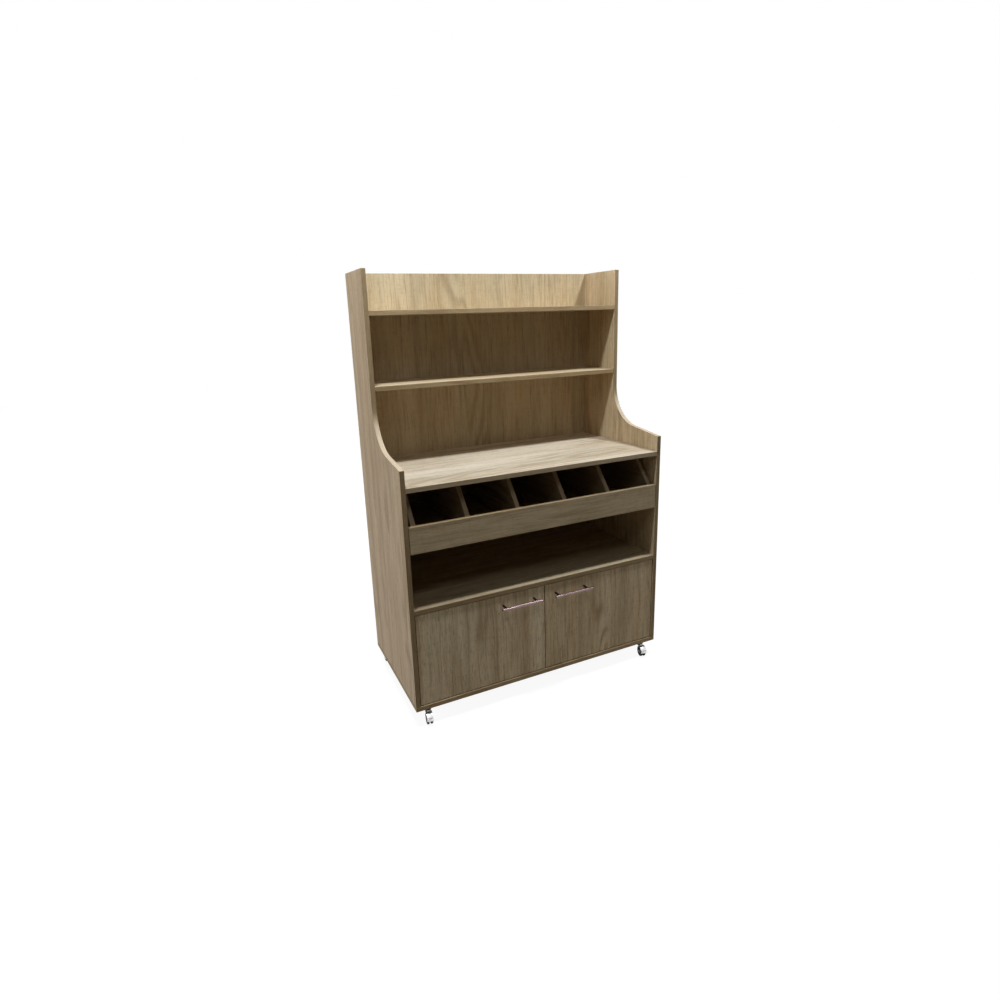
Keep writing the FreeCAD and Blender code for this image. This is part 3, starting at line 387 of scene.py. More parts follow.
# %% [markdown]
# Real edge banding is trimmed to a small radius, about half a millimetre, and that is what catches
# the light along each board. The CAD boards have sharp edges. Their meshes stay as they are, and
# live modifiers do it: Weld joins the loose triangles, Decimate dissolves the flat faces' inner
# edges, and Bevel rounds only edges that turn by more than thirty degrees.

# %% Soften the edges
WELD_REACH = 0.000001
FLAT_ANGLE = 0.5
BOARD_EDGE = 0.0009
EDGE_STEPS = 2
SHARP_ANGLE = 30.0


def soften(node_name, width, angle=SHARP_ANGLE, clamp=False):
    """Rounds a CAD node's sharp edges to a width."""
    node = nodes[node_name]
    weld = node.modifiers.new("join_triangles", "WELD")
    weld.merge_threshold = WELD_REACH
    flat = node.modifiers.new("join_flat_faces", "DECIMATE")
    flat.decimate_type = "DISSOLVE"
    flat.angle_limit = math.radians(FLAT_ANGLE)
    bevel = node.modifiers.new("small_radius", "BEVEL")
    bevel.width = width
    bevel.segments = EDGE_STEPS
    bevel.limit_method = "ANGLE"
    bevel.angle_limit = math.radians(angle)
    bevel.use_clamp_overlap = clamp
    bevel.harden_normals = False


for board in BOARDS:
    soften(board, BOARD_EDGE)
print("edges softened:", len(BOARDS))

# %% [markdown]
# The hardware is metal and moulded plastic. None of it is one flat colour: metal has fine rub marks
# that change its roughness, longer ones where it is brushed, and moulded plastic has a faint grain
# and some dust in patches.

# %% Functions for metal and plastic
RUB_SCALE = 900.0
RUB_DETAIL = 3.0
RUB_ROUGHNESS = 0.6
BRUSH_SCALE = 20.0
CLOUD_SCALE = 60.0
CLOUD_DETAIL = 2.0
CLOUD_SHADE = 0.80
GRAIN_SCALE = 2200.0
GRAIN_DETAIL = 2.0
PATCH_SCALE = 90.0
PATCH_DETAIL = 3.0
PATCH_RUB = 0.12
DUST_RANGE = (0.45, 0.75)
DUST = srgb(150, 144, 134)
# Strength and depth of the relief
METAL_RELIEF = (0.15, 0.00003)
PLASTIC_RELIEF = (0.25, 0.00005)


def scaled(tree, scale):
    """Object coordinates, stretched by a scale for each axis."""
    coordinates = add_node(tree, "ShaderNodeTexCoord").outputs["Object"]
    return add_node(tree, "ShaderNodeMapping", {"Vector": coordinates, "Scale": scale}).outputs[0]


def metal(name, tint, roughness, rub, brushed=None):
    """A metal whose roughness and tone vary with fine marks, stretched along an axis if brushed."""
    material, tree, shader = new_material(name)
    stretch = [BRUSH_SCALE if axis == brushed else RUB_SCALE for axis in "XYZ"]
    marks = noise(tree, scaled(tree, stretch), RUB_DETAIL, RUB_ROUGHNESS)
    clouds = noise(tree, scaled(tree, [CLOUD_SCALE] * 3), CLOUD_DETAIL)
    darker = opaque(tuple(value * CLOUD_SHADE for value in tint[:3]))
    colour = mix_colour(tree, remap(tree, clouds, *MIDDLE_RANGE), darker, tint)
    tree.links.new(colour, shader.inputs["Base Color"])
    rubbed = remap(tree, marks, *MIDDLE_RANGE, roughness, roughness + rub, smooth=False)
    tree.links.new(rubbed, shader.inputs["Roughness"])
    shader.inputs["Metallic"].default_value = 1.0
    set_relief(tree, shader, marks, *METAL_RELIEF)
    return material


def plastic(name, tint, roughness, dust, metallic=0.0, shine=0.5):
    """Moulded plastic with a fine grain and a little dust."""
    material, tree, shader = new_material(name)
    grain = noise(tree, scaled(tree, [GRAIN_SCALE] * 3), GRAIN_DETAIL)
    patches = noise(tree, scaled(tree, [PATCH_SCALE] * 3), PATCH_DETAIL)
    dusty = calculate(tree, "MULTIPLY", remap(tree, patches, *DUST_RANGE), dust)
    tree.links.new(mix_colour(tree, dusty, tint, DUST), shader.inputs["Base Color"])
    rubbed = remap(tree, patches, *MIDDLE_RANGE, roughness, roughness + PATCH_RUB, smooth=False)
    tree.links.new(rubbed, shader.inputs["Roughness"])
    shader.inputs["Metallic"].default_value = metallic
    shader.inputs["Specular IOR Level"].default_value = shine
    set_relief(tree, shader, grain, *PLASTIC_RELIEF)
    return material


print("functions for hardware ready")

# %% [markdown]
# The door bars are polished chrome and stand on black posts. Hidden steel is zinc-plated, and the
# drawer's runners are drawn steel, brushed along their length. The dowels are raw beech, but they
# are out of sight in the boards, so the oak print stands in for it. The wheels are black plastic.
# The caster hoods are silver over a black body: one material does both, because the faces that look
# along the wheels' axle are the black part.

# %% The hardware's finishes
BODY_BLACK = srgb(16, 16, 18)
BODY_SHINE = 0.16
CAP_SHINE = 0.5
CAP_METALLIC = 0.75
SIDE_FACE_NORMAL = (0.55, 0.75)
BEECH_SEED = 3.3

polished_chrome = metal("polished_chrome", srgb(132, 110, 108), 0.28, 0.06, brushed="X")
black_steel = metal("black_steel", srgb(52, 52, 54), 0.34, 0.16)
zinc_steel = metal("zinc_steel", srgb(172, 174, 178), 0.28, 0.18)
runner_steel = metal("runner_steel", srgb(158, 161, 166), 0.26, 0.18, brushed="Y")
silver_plastic = plastic("silver_plastic", srgb(232, 230, 226), 0.22, 0.08, metallic=CAP_METALLIC)
black_plastic = plastic("black_plastic", srgb(14, 14, 16), 0.46, 0.04, shine=BODY_SHINE)
grey_plastic = plastic("grey_plastic", srgb(120, 121, 124), 0.40, 0.10)
raw_beech = oak_laminate("raw_beech", "X", "Z", BEECH_SEED)


def capped_hood(corner):
    """Silver plastic with a black body under it, for the hood of one caster."""
    material = silver_plastic.copy()
    material.name = "hood_" + corner
    tree = material.node_tree
    shader = next(node for node in tree.nodes if node.type == "BSDF_PRINCIPLED")
    axle = tuple(joints["wheel_spin_" + corner]["axis"])
    normal = add_node(tree, "ShaderNodeTexCoord").outputs["Normal"]
    facing = add_node(tree, "ShaderNodeVectorMath", {0: normal, 1: axle}, operation="DOT_PRODUCT")
    side_face = remap(tree, calculate(tree, "ABSOLUTE", facing.outputs["Value"]), *SIDE_FACE_NORMAL)
    silver = shader.inputs["Base Color"].links[0].from_socket
    for socket, value in (("Base Color", mix_colour(tree, side_face, silver, BODY_BLACK)),
                          ("Metallic", remap(tree, side_face, 0.0, 1.0, CAP_METALLIC, 0.0)),
                          ("Specular IOR Level", remap(tree, side_face, 0.0, 1.0, CAP_SHINE,
                                                       BODY_SHINE))):
        tree.links.new(value, shader.inputs[socket])
    return material


print("finishes:", len(bpy.data.materials))

# %% [markdown]
# Each piece of hardware gets its finish by name. The print at the end would show a CAD node that
# was left out.

# %% Dress the hardware
CORNERS = ("front_left", "front_right", "rear_left", "rear_right")
FRONT_CORNERS = CORNERS[:2]
SIDES = ("left", "right")

hardware = {"carcass_dowels": raw_beech, "back_screws": zinc_steel, "caster_screws": zinc_steel,
            "pivot_bushes": grey_plastic, "catch_bodies": grey_plastic, "runner_outer": runner_steel,
            "runner_middle": runner_steel, "runner_inner": runner_steel}
for side in SIDES:
    hardware["handle_bar_" + side] = polished_chrome
    hardware["handle_posts_" + side] = black_steel
    for piece in ("handle_screws_", "pivot_pins_", "strike_plate_"):
        hardware[piece + side] = zinc_steel
for corner in CORNERS:
    hardware["caster_plate_" + corner] = black_steel
    hardware["caster_kingpin_" + corner] = zinc_steel
    hardware["caster_hood_" + corner] = capped_hood(corner)
    hardware["caster_wheels_" + corner] = black_plastic
    hardware["caster_axle_" + corner] = grey_plastic
for corner in FRONT_CORNERS:
    hardware["brake_pedal_" + corner] = silver_plastic
for node_name, finish in hardware.items():
    dress(node_name, finish)
unfinished = sorted(set(nodes) - set(BOARDS) - set(hardware))
print("hardware finished:", len(hardware), "left out:", unfinished)

# %% [markdown]
# The caster hoods and pedals are moulded, so their edges are round all over. The pressed strike
# plates and the moulded catches inside the cupboard get a small radius too.

# %% Round the moulded pieces
MOULDED_ANGLE = 35.0
HOOD_EDGE = 0.0005
PEDAL_EDGE = 0.0007
STRIKE_EDGE = 0.0003
CATCH_EDGE = 0.0008

for corner in CORNERS:
    soften("caster_hood_" + corner, HOOD_EDGE, MOULDED_ANGLE, clamp=True)
for corner in FRONT_CORNERS:
    soften("brake_pedal_" + corner, PEDAL_EDGE, MOULDED_ANGLE)
for side in SIDES:
    soften("strike_plate_" + side, STRIKE_EDGE)
soften("catch_bodies", CATCH_EDGE)
print("moulded edges rounded")

# %% [markdown]
# The small hardware is modelled next, the way it is done by hand: a primitive is shaped in edit
# mode by inset, extrude and bevel. Operators act on all that is selected, so one helper clears the
# selection and opens the piece, and two more choose faces or edges by where they lie.

# %% Helpers for edit mode
FLAT_NORMAL = 0.99
NEAR = 0.0001
SMOOTH_ANGLE = 32.0


def deselect_everything():
    for thing in bpy.context.selected_objects:
        thing.select_set(False)


def open_for_editing(piece):
    deselect_everything()
    bpy.context.view_layer.objects.active = piece
    piece.select_set(True)
    bpy.ops.object.mode_set(mode="EDIT")


def select_only(piece, kind, wanted):
    """Selects only the faces, or the edges, that are wanted, and says how many there are."""
    bpy.ops.mesh.select_mode(type=kind)
    mesh = bmesh.from_edit_mesh(piece.data)
    elements = mesh.faces if kind == "FACE" else mesh.edges
    for element in elements:
        element.select_set(False)
    chosen = [element for element in elements if wanted(element)]
    for element in chosen:
        element.select_set(True)
    bmesh.update_edit_mesh(piece.data)
    return len(chosen)


def choose_faces(piece, wanted):
    return select_only(piece, "FACE", wanted)


def choose_edges(piece, wanted):
    return select_only(piece, "EDGE", wanted)


def faces_up(face):
    return face.normal.z > FLAT_NORMAL


def lowest(edge):
    return min(vertex.co.z for vertex in edge.verts)


def radius_of(point):
    return math.hypot(point.x, point.y)


def extrude(rise):
    """Pulls the chosen faces along Z."""
    bpy.ops.mesh.extrude_region_move(TRANSFORM_OT_translate={"value": (0.0, 0.0, rise)})


def close_editing(piece, smooth_angle=SMOOTH_ANGLE):
    bpy.ops.mesh.select_all(action="SELECT")
    bpy.ops.mesh.normals_make_consistent(inside=False)
    bpy.ops.object.mode_set(mode="OBJECT")
    bpy.ops.object.shade_smooth_by_angle(angle=math.radians(smooth_angle))
    print(piece.name, "faces:", len(piece.data.polygons))


print("edit mode helpers ready")

# %% [markdown]
# Each piece is modelled once, round the Z axis at the origin. A copy of its mesh is then turned and
# moved to its place, so the copy's object can stay at the origin.

# %% Helpers for pieces and their copies
def turned_disc(name, radius, depth, middle, sides):
    """A short cylinder round the Z axis, with its place already in its mesh."""
    deselect_everything()
    bpy.ops.mesh.primitive_cylinder_add(vertices=sides, radius=radius, depth=depth,
                                        location=(0.0, 0.0, middle))
    piece = bpy.context.object
    piece.name = name
    bpy.ops.object.transform_apply(location=True, rotation=True, scale=True)
    return piece


def copy_to(piece, name, matrix):
    mesh = piece.data.copy()
    mesh.transform(matrix)
    copy = bpy.data.objects.new(name, mesh)
    bpy.context.scene.collection.objects.link(copy)
    return copy


def turn_to(place, direction):
    """The matrix that takes the Z axis at the origin to a direction at a place."""
    turn = Vector(direction).to_track_quat("Z", "Y").to_matrix().to_4x4()
    return Matrix.Translation(Vector(place)) @ turn


print("copying helpers ready")

# %% [markdown]
# Each caster has two wheels on one axle. The real wheel is a moulded disc: rounded shoulders, an
# outer face sunk inside its rim, a few stiffening ribs, and a raised hub. The wheel starts as a
# cylinder. A bevel rounds the shoulders, an inset and an extrude sink the face, and another inset
# leaves a ring of small faces, some of which are pulled up as ribs.

# %% Model one wheel
WHEEL_RADIUS = joints["wheel_spin_front_left"]["pos_m"][2]
WHEEL_WIDTH = 0.0080
WHEEL_INNER_FACE = 0.0022
WHEEL_OUTER_FACE = WHEEL_INNER_FACE + WHEEL_WIDTH
WHEEL_SIDES = 72
SHOULDER = 0.0028
SHOULDER_STEPS = 4
FACE_RADIUS = 0.0138
FACE_DEPTH = 0.0016
HUB_RADIUS = 0.0060
RIB_COUNT = 6
RIB_HEIGHT = 0.0009
RIB_HALF_ANGLE = 5.0

wheel = turned_disc("caster_wheel", WHEEL_RADIUS, WHEEL_WIDTH, WHEEL_INNER_FACE + WHEEL_WIDTH / 2,
                    WHEEL_SIDES)
open_for_editing(wheel)
choose_edges(wheel, lambda edge: abs(edge.verts[0].co.z - edge.verts[1].co.z) < NEAR)
bpy.ops.mesh.bevel(offset=SHOULDER, segments=SHOULDER_STEPS, affect="EDGES")
choose_faces(wheel, faces_up)
bpy.ops.mesh.inset(thickness=WHEEL_RADIUS - SHOULDER - FACE_RADIUS)
extrude(-FACE_DEPTH)
bpy.ops.mesh.inset(thickness=FACE_RADIUS - HUB_RADIUS)
extrude(FACE_DEPTH)
floor_of_face = WHEEL_OUTER_FACE - FACE_DEPTH


def in_rib(face):
    centre = face.calc_center_median()
    if not faces_up(face) or abs(centre.z - floor_of_face) > NEAR:
        return False
    step = 360 / RIB_COUNT
    turn = math.degrees(math.atan2(centre.y, centre.x)) % step
    return radius_of(centre) <= FACE_RADIUS and min(turn, step - turn) < RIB_HALF_ANGLE


print("rib faces:", choose_faces(wheel, in_rib))
extrude(RIB_HEIGHT)
close_editing(wheel)

# %% [markdown]
# The hub cap is a separate pale plastic button that hides the end of the axle. It gets a rounded
# rim and a shallow dish.

# %% Model one hub cap
CAP_RADIUS = 0.0054
CAP_THICKNESS = 0.0020
CAP_PROUD = 0.0005
CAP_SIDES = 48
CAP_EDGE = 0.0004
CAP_EDGE_STEPS = 3
CAP_RIM = 0.0018
CAP_DISH = 0.0003
CAP_DISH_RIM = 0.0006

hub_cap = turned_disc("hub_cap", CAP_RADIUS, CAP_THICKNESS,
                      WHEEL_OUTER_FACE + CAP_PROUD - CAP_THICKNESS / 2, CAP_SIDES)
open_for_editing(hub_cap)
choose_edges(hub_cap, lambda edge: lowest(edge) > WHEEL_OUTER_FACE)
bpy.ops.mesh.bevel(offset=CAP_EDGE, segments=CAP_EDGE_STEPS, affect="EDGES")
choose_faces(hub_cap, faces_up)
bpy.ops.mesh.inset(thickness=CAP_RIM)
extrude(-CAP_DISH)
bpy.ops.mesh.inset(thickness=CAP_DISH_RIM)
close_editing(hub_cap)

# %% [markdown]
# Every caster takes two wheels and two caps. The joint in the frame gives the axle's middle and
# direction, and a wheel that is turned to face the other way makes the second side.

# %% Put the wheels on the casters
for corner in CORNERS:
    axle = joints["wheel_spin_" + corner]
    for side, way in (("outer", 1.0), ("inner", -1.0)):
        matrix = turn_to(axle["pos_m"], Vector(axle["axis"]) * way)
        tyre = copy_to(wheel, "wheel_%s_%s" % (corner, side), matrix)
        tyre.data.materials.append(black_plastic)
        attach(tyre, "wheelset_" + corner)
        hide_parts("caster_wheels_" + corner)
        cap = copy_to(hub_cap, "hub_cap_%s_%s" % (corner, side), matrix)
        cap.data.materials.append(silver_plastic)
        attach(cap, "wheelset_" + corner)
for pattern in (wheel, hub_cap):
    bpy.data.objects.remove(pattern)
print("wheels placed:", 2 * len(CORNERS))

# %% [markdown]
# The brake pedals are trodden on, so the real tread has raised bars against slipping. The bars are
# one thin plate on the tread: its top is cut into strips with the bisect operator, and every other
# strip is pulled up. The plate is laid on the tread with the pedal's own joint and tilt.

# %% Model the bars of a brake pedal
TREAD_WIDTH = 0.0134
TREAD_LENGTH = 0.0110
TREAD_TILT = math.radians(25.0)
PEDAL_HUB_RADIUS = 0.0028
BAR_COUNT = 4
PLATE_HEIGHT = 0.0003
BAR_HEIGHT = 0.0004
BAR_MARGIN = 0.0012
BAR_TIP_MARGIN = 0.0008
BAR_HUB_MARGIN = 0.0022
BAR_ROOM = TREAD_LENGTH - BAR_HUB_MARGIN - BAR_TIP_MARGIN
BAR_SMOOTH_ANGLE = 20.0


def tread_bars():
    """A plate with raised bars whose top faces along Z, Y being the way out to the pedal's tip."""
    deselect_everything()
    bpy.ops.mesh.primitive_cube_add(size=1.0)
    plate = bpy.context.object
    plate.name = "tread_bars"
    plate.scale = (TREAD_WIDTH - 2 * BAR_MARGIN, BAR_ROOM, PLATE_HEIGHT)
    bpy.ops.object.transform_apply(location=True, rotation=True, scale=True)
    open_for_editing(plate)
    strip = BAR_ROOM / (2 * BAR_COUNT - 1)
    for cut in range(1, 2 * BAR_COUNT - 1):
        bpy.ops.mesh.select_all(action="SELECT")
        bpy.ops.mesh.bisect(plane_co=(0.0, cut * strip - BAR_ROOM / 2, 0.0),
                            plane_no=(0.0, 1.0, 0.0))
    choose_faces(plate, lambda face: faces_up(face)
                 and int((face.calc_center_median().y + BAR_ROOM / 2) / strip) % 2 == 0)
    extrude(BAR_HEIGHT)
    close_editing(plate, BAR_SMOOTH_ANGLE)
    return plate


bars = tread_bars()
for corner in FRONT_CORNERS:
    pivot = joints["brake_pedal_" + corner]
    across = Vector(pivot["axis"]).normalized()
    ahead = Vector((across.y, -across.x, 0.0))
    outward = ahead * math.cos(TREAD_TILT) + Vector((0.0, 0.0, math.sin(TREAD_TILT)))
    above = across.cross(outward)
    above *= 1.0 if above.z > 0 else -1.0
    sideways = outward.cross(above)
    place = Vector(pivot["pos_m"]) + above * (PEDAL_HUB_RADIUS + PLATE_HEIGHT / 2)
    place += outward * (TREAD_LENGTH - BAR_ROOM / 2 - BAR_TIP_MARGIN)
    turn = Matrix((sideways, outward, above)).transposed().to_4x4()
    laid = copy_to(bars, "tread_bars_" + corner, Matrix.Translation(place) @ turn)
    laid.data.materials.append(grey_plastic)
    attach(laid, "pedal_" + corner)
bpy.data.objects.remove(bars)
print("pedal bars laid:", len(FRONT_CORNERS))

# %% [markdown]
# The screws have cross recesses. Each is cut with a small cross: a cube whose four sides are
# extruded in turn, one arm at a time.

# %% A cutter for the cross recess
def cross_cutter(reach, width, depth):
    """A cross round the Z axis that reaches the same depth below zero and above it."""
    deselect_everything()
    bpy.ops.mesh.primitive_cube_add(size=width, location=(0.0, 0.0, 0.0))
    cutter = bpy.context.object
    open_for_editing(cutter)
    for sideways in (Vector((1, 0, 0)), Vector((-1, 0, 0)), Vector((0, 1, 0)), Vector((0, -1, 0))):
        choose_faces(cutter, lambda face: face.normal.dot(sideways) > FLAT_NORMAL
                     and abs(face.calc_center_median().dot(sideways) - width / 2) < NEAR / 10)
        arm = sideways * (reach - width / 2)
        bpy.ops.mesh.extrude_region_move(TRANSFORM_OT_translate={"value": tuple(arm)})
    bpy.ops.mesh.select_all(action="SELECT")
    bpy.ops.transform.resize(value=(1.0, 1.0, 2.0 * depth / width), center_override=(0.0, 0.0, 0.0))
    bpy.ops.mesh.normals_make_consistent(inside=False)
    bpy.ops.object.mode_set(mode="OBJECT")
    return cutter


print("recess cutter ready")

# %% [markdown]
# A countersunk chipboard screw holds the back to the shelves, and pan-headed screws hold the caster
# plates and the door bars. A screw starts as the rim of its head. Its lower face is extruded and
# narrowed to make the cone and the shank, and a Boolean modifier takes the cross out of the head.

# %% Model the screws
SCREW_SIDES = 28
HEAD_RIM = 0.0005
HEAD_ROUND_SHARE = 0.5
HEAD_ROUND_STEPS = 4
TIP_SHARE = 0.2
TIP_TAPER = 0.25
RECESS_REACH_SHARE = 0.52
RECESS_WIDTH_SHARE = 0.20
RECESS_DEPTH_SHARE = 0.55
# Head radius, head height, shank radius, length, and whether the head is countersunk.
SCREWS = {
    "countersunk_screw": (0.0045, 0.0030, 0.0020, 0.050, True),
    "plate_screw": (0.0040, 0.0022, 0.0018, 0.0165, False),
    "bar_screw": (0.0040, 0.0022, 0.0020, 0.0285, False),
}


def narrow(factor):
    bpy.ops.transform.resize(value=(factor, factor, 1.0))


def model_screw(name, head_radius, head_height, shank_radius, length, countersunk):
    """A screw along the Z axis whose head's top lies at zero."""
    rim = HEAD_RIM if countersunk else head_height
    screw = turned_disc(name, head_radius, rim, -rim / 2, SCREW_SIDES)
    open_for_editing(screw)
    if not countersunk:
        choose_edges(screw, lambda edge: lowest(edge) > -NEAR)
        bpy.ops.mesh.bevel(offset=head_height * HEAD_ROUND_SHARE, segments=HEAD_ROUND_STEPS,
                           affect="EDGES")
    choose_faces(screw, lambda face: face.normal.z < -FLAT_NORMAL)
    if countersunk:
        extrude(-(head_height - rim))
        narrow(shank_radius / head_radius)
    else:
        bpy.ops.mesh.inset(thickness=head_radius - shank_radius)
    extrude(-(length - head_height) * (1 - TIP_SHARE))
    extrude(-(length - head_height) * TIP_SHARE)
    narrow(TIP_TAPER)
    close_editing(screw)
    cutter = cross_cutter(head_radius * RECESS_REACH_SHARE, head_radius * RECESS_WIDTH_SHARE,
                          head_height * RECESS_DEPTH_SHARE)
    cut = screw.modifiers.new("cross_recess", "BOOLEAN")
    cut.operation = "DIFFERENCE"
    cut.object = cutter
    bpy.context.view_layer.objects.active = screw
    bpy.ops.object.modifier_apply(modifier=cut.name)
    bpy.data.objects.remove(cutter)
    print(name, "after the recess:", len(screw.data.polygons))
    return screw


patterns = {name: model_screw(name, *sizes) for name, sizes in SCREWS.items()}

# %% [markdown]
# The CAD nodes say where each screw is: the separate solids of a node are found by walking from
# vertex to joined vertex, and each solid's box gives one screw's place.

# %% Find the plain screws
def solid_boxes(node_name):
    """The lowest and highest corner of each separate solid in a CAD node."""
    mesh = bmesh.new()
    mesh.from_mesh(nodes[node_name].data)
    bmesh.ops.remove_doubles(mesh, verts=mesh.verts, dist=WELD_REACH)
    waiting = set(mesh.verts)
    boxes = []
    while waiting:
        reached = [waiting.pop()]
        points = []
        while reached:
            vertex = reached.pop()
            points.append(vertex.co.copy())
            for edge in vertex.link_edges:
                other = edge.other_vert(vertex)
                if other in waiting:
                    waiting.discard(other)
                    reached.append(other)
        low = Vector([min(point[axis] for point in points) for axis in range(3)])
        high = Vector([max(point[axis] for point in points) for axis in range(3)])
        boxes.append((low, high))
    mesh.free()
    return sorted(boxes, key=lambda box: tuple(round(value, 4) for value in box[0]))


print("back screws found:", len(solid_boxes("back_screws")))

# %% [markdown]
# A screw is set at each solid with its head outward, and a node's screws are joined into one piece
# that replaces the plain ones.

# %% Put the screws in their places
def place_screws(pattern, node_name, body, outward):
    """Puts a screw at each solid of a node, with its head on the outward side, and joins them."""
    outward = Vector(outward)
    copies = []
    for low, high in solid_boxes(node_name):
        head = (low + high) / 2 + (high - low) / 2 * outward
        copies.append(copy_to(pattern, node_name + "_with_recess", turn_to(head, outward)))
    deselect_everything()
    for copy in copies:
        copy.select_set(True)
    bpy.context.view_layer.objects.active = copies[0]
    bpy.ops.object.join()
    joined = copies[0]
    joined.data.materials.append(zinc_steel)
    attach(joined, body)
    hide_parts(node_name)
    print(joined.name, "screws:", len(copies))


place_screws(patterns["countersunk_screw"], "back_screws", "cabinet", (0, 1, 0))
place_screws(patterns["plate_screw"], "caster_screws", "cabinet", (0, 0, -1))
for side in SIDES:
    place_screws(patterns["bar_screw"], "handle_screws_" + side, "door_" + side, (0, 1, 0))
for pattern in patterns.values():
    bpy.data.objects.remove(pattern)

# %% [markdown]
# The floor is a plain pale sheet that only carries the cabinet's shadow. The camera, and gloss, see
# it nearly white because its colour is mixed with a plain glow on camera rays. Other rays see only
# its pale colour, so no extra light reaches the cabinet.

# %% Floor and backdrop
FLOOR_SIZE = 24.0
FLOOR_COLOUR = srgb(156, 147, 130)
FLOOR_ROUGHNESS = 0.9
FLOOR_SHINE = 0.1
CATCHER_COLOUR = (0.14, 0.14, 0.13, 1.0)
GLOW_DISTANCE = (0.7, 3.2)
GLOW_STRENGTH = (0.93, 1.0)
AMBIENT_COLOUR = (0.86, 0.92, 1.0, 1.0)
AMBIENT_STRENGTH = 0.012
WHITE = (1.0, 1.0, 1.0, 1.0)


def bright_for_the_eye(tree):
    """One where a ray comes from the camera or from gloss or glass."""
    rays = add_node(tree, "ShaderNodeLightPath").outputs
    seen = calculate(tree, "MAXIMUM", rays["Is Camera Ray"], rays["Is Glossy Ray"])
    return calculate(tree, "MAXIMUM", seen, rays["Is Transmission Ray"])


def lay_floor():
    deselect_everything()
    bpy.ops.mesh.primitive_plane_add(size=FLOOR_SIZE, location=(0.0, 0.0, 0.0))
    floor = bpy.context.object
    floor.name = "studio_floor"
    material, tree, shader = new_material("studio_floor")
    shader.inputs["Base Color"].default_value = FLOOR_COLOUR
    shader.inputs["Roughness"].default_value = FLOOR_ROUGHNESS
    shader.inputs["Specular IOR Level"].default_value = FLOOR_SHINE
    catcher = add_node(tree, "ShaderNodeBsdfDiffuse", {"Color": CATCHER_COLOUR})
    spot = add_node(tree, "ShaderNodeTexCoord").outputs["Object"]
    reach = add_node(tree, "ShaderNodeVectorMath", {0: spot}, operation="LENGTH").outputs["Value"]
    strength = remap(tree, reach, *GLOW_DISTANCE, *GLOW_STRENGTH)
    glow = add_node(tree, "ShaderNodeEmission", {"Color": WHITE, "Strength": strength})
    both = add_node(tree, "ShaderNodeAddShader", {0: catcher.outputs[0], 1: glow.outputs[0]})
    mix = add_node(tree, "ShaderNodeMixShader", {0: bright_for_the_eye(tree), 1: shader.outputs[0],
                                                 2: both.outputs[0]})
    output = next(node for node in tree.nodes if node.type == "OUTPUT_MATERIAL")
    tree.links.new(mix.outputs[0], output.inputs["Surface"])
    floor.data.materials.append(material)


lay_floor()
world = bpy.data.worlds.new("studio_world")
bpy.context.scene.world = world
world.use_nodes = True
sky = world.node_tree
sky.nodes.clear()
ambient = add_node(sky, "ShaderNodeBackground", {"Color": AMBIENT_COLOUR,
                                                 "Strength": AMBIENT_STRENGTH})
white = add_node(sky, "ShaderNodeBackground", {"Color": WHITE, "Strength": 1.0})
chosen = add_node(sky, "ShaderNodeMixShader", {0: bright_for_the_eye(sky), 1: ambient.outputs[0],
                                               2: white.outputs[0]})
add_node(sky, "ShaderNodeOutputWorld", {"Surface": chosen.outputs[0]})
print("floor and backdrop ready")

# %% [markdown]
# In the photograph the light comes from lamps above the cabinet. The top bay and the worktop are
# bright, the doors far below are dim, and the shelves throw fairly crisp shadows. Two small lamps
# under a ceiling do that: a lamp fades with distance, which a sun would not. They are a little cool,
# because the bays, which see mostly light that wood has thrown back, are much warmer than the
# worktop. A softer lamp in front reaches the doors and the front of the open bay, and wide ones at
# the sides and behind keep the outer faces from going dark when the cabinet is turned.

# %% Lamps
OVERHEAD_COLOUR = (0.79, 0.88, 1.0)
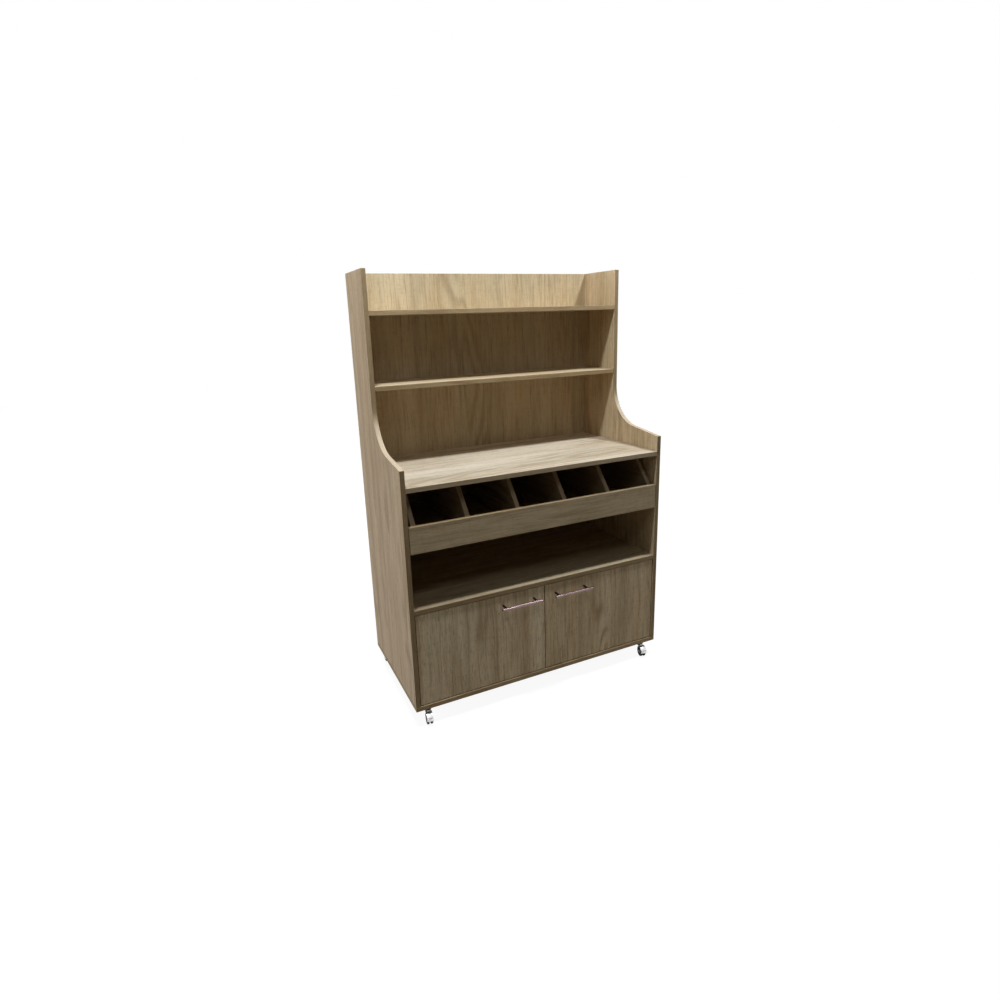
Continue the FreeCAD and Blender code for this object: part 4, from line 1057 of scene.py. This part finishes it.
# Place, the point that it looks at, diameter, power in watts and colour.
LAMPS = {
    "lamp_right": ((0.87, -0.43, 2.44), (0.0, 0.0, 0.95), 0.16, 22.5, OVERHEAD_COLOUR),
    "lamp_left": ((-0.72, -0.41, 2.50), (0.0, 0.0, 0.95), 0.16, 23.5, OVERHEAD_COLOUR),
    "lamp_front": ((-0.90, -2.00, 3.10), (0.0, -0.2, 0.6), 0.80, 8.0, (0.88, 0.95, 1.0)),
    "lamp_side": ((-3.10, 0.80, 1.70), (-0.5, 0.0, 0.8), 1.60, 25.0, (1.0, 0.94, 0.98)),
    "lamp_far_side": ((3.10, 1.00, 1.80), (0.5, 0.0, 0.8), 1.60, 22.0, (1.0, 0.96, 0.92)),
    "lamp_behind": ((0.40, 3.20, 2.20), (0.0, 0.25, 0.8), 2.00, 44.0, (1.0, 0.97, 0.93)),
}

for name, (place, target, diameter, power, colour) in LAMPS.items():
    data = bpy.data.lights.new(name, "AREA")
    data.shape = "DISK"
    data.size = diameter
    data.energy = power
    data.color = colour
    lamp = bpy.data.objects.new(name, data)
    bpy.context.scene.collection.objects.link(lamp)
    lamp.location = place
    lamp.rotation_euler = (Vector(target) - Vector(place)).to_track_quat("-Z", "Y").to_euler()
print("lamps:", list(LAMPS))

# %% [markdown]
# The camera's place, turn and focal length were solved from the corners of the cabinet in the
# photograph, with the image taken as 1000 x 1000 pixels.

# %% Camera
IMAGE_SIZE = 1000.0
FOCAL_PIXELS = 606.32
CENTRE_PIXELS = (496.48, 474.57)
SENSOR_WIDTH = 36.0
CAMERA_PLACE = (-0.98969, -1.96294, 1.32703)
CAMERA_ANGLES = (75.69627, 1.77698, -25.62991)

camera_data = bpy.data.cameras.new("camera")
camera_data.sensor_width = SENSOR_WIDTH
camera_data.lens = FOCAL_PIXELS / IMAGE_SIZE * SENSOR_WIDTH
camera_data.shift_x = 0.5 - CENTRE_PIXELS[0] / IMAGE_SIZE
camera_data.shift_y = CENTRE_PIXELS[1] / IMAGE_SIZE - 0.5
camera = bpy.data.objects.new("camera", camera_data)
bpy.context.scene.collection.objects.link(camera)
camera.location = CAMERA_PLACE
camera.rotation_euler = tuple(math.radians(angle) for angle in CAMERA_ANGLES)
bpy.context.scene.camera = camera
bpy.context.scene.view_settings.view_transform = "Standard"
print("lens:", round(camera_data.lens, 2), "mm")
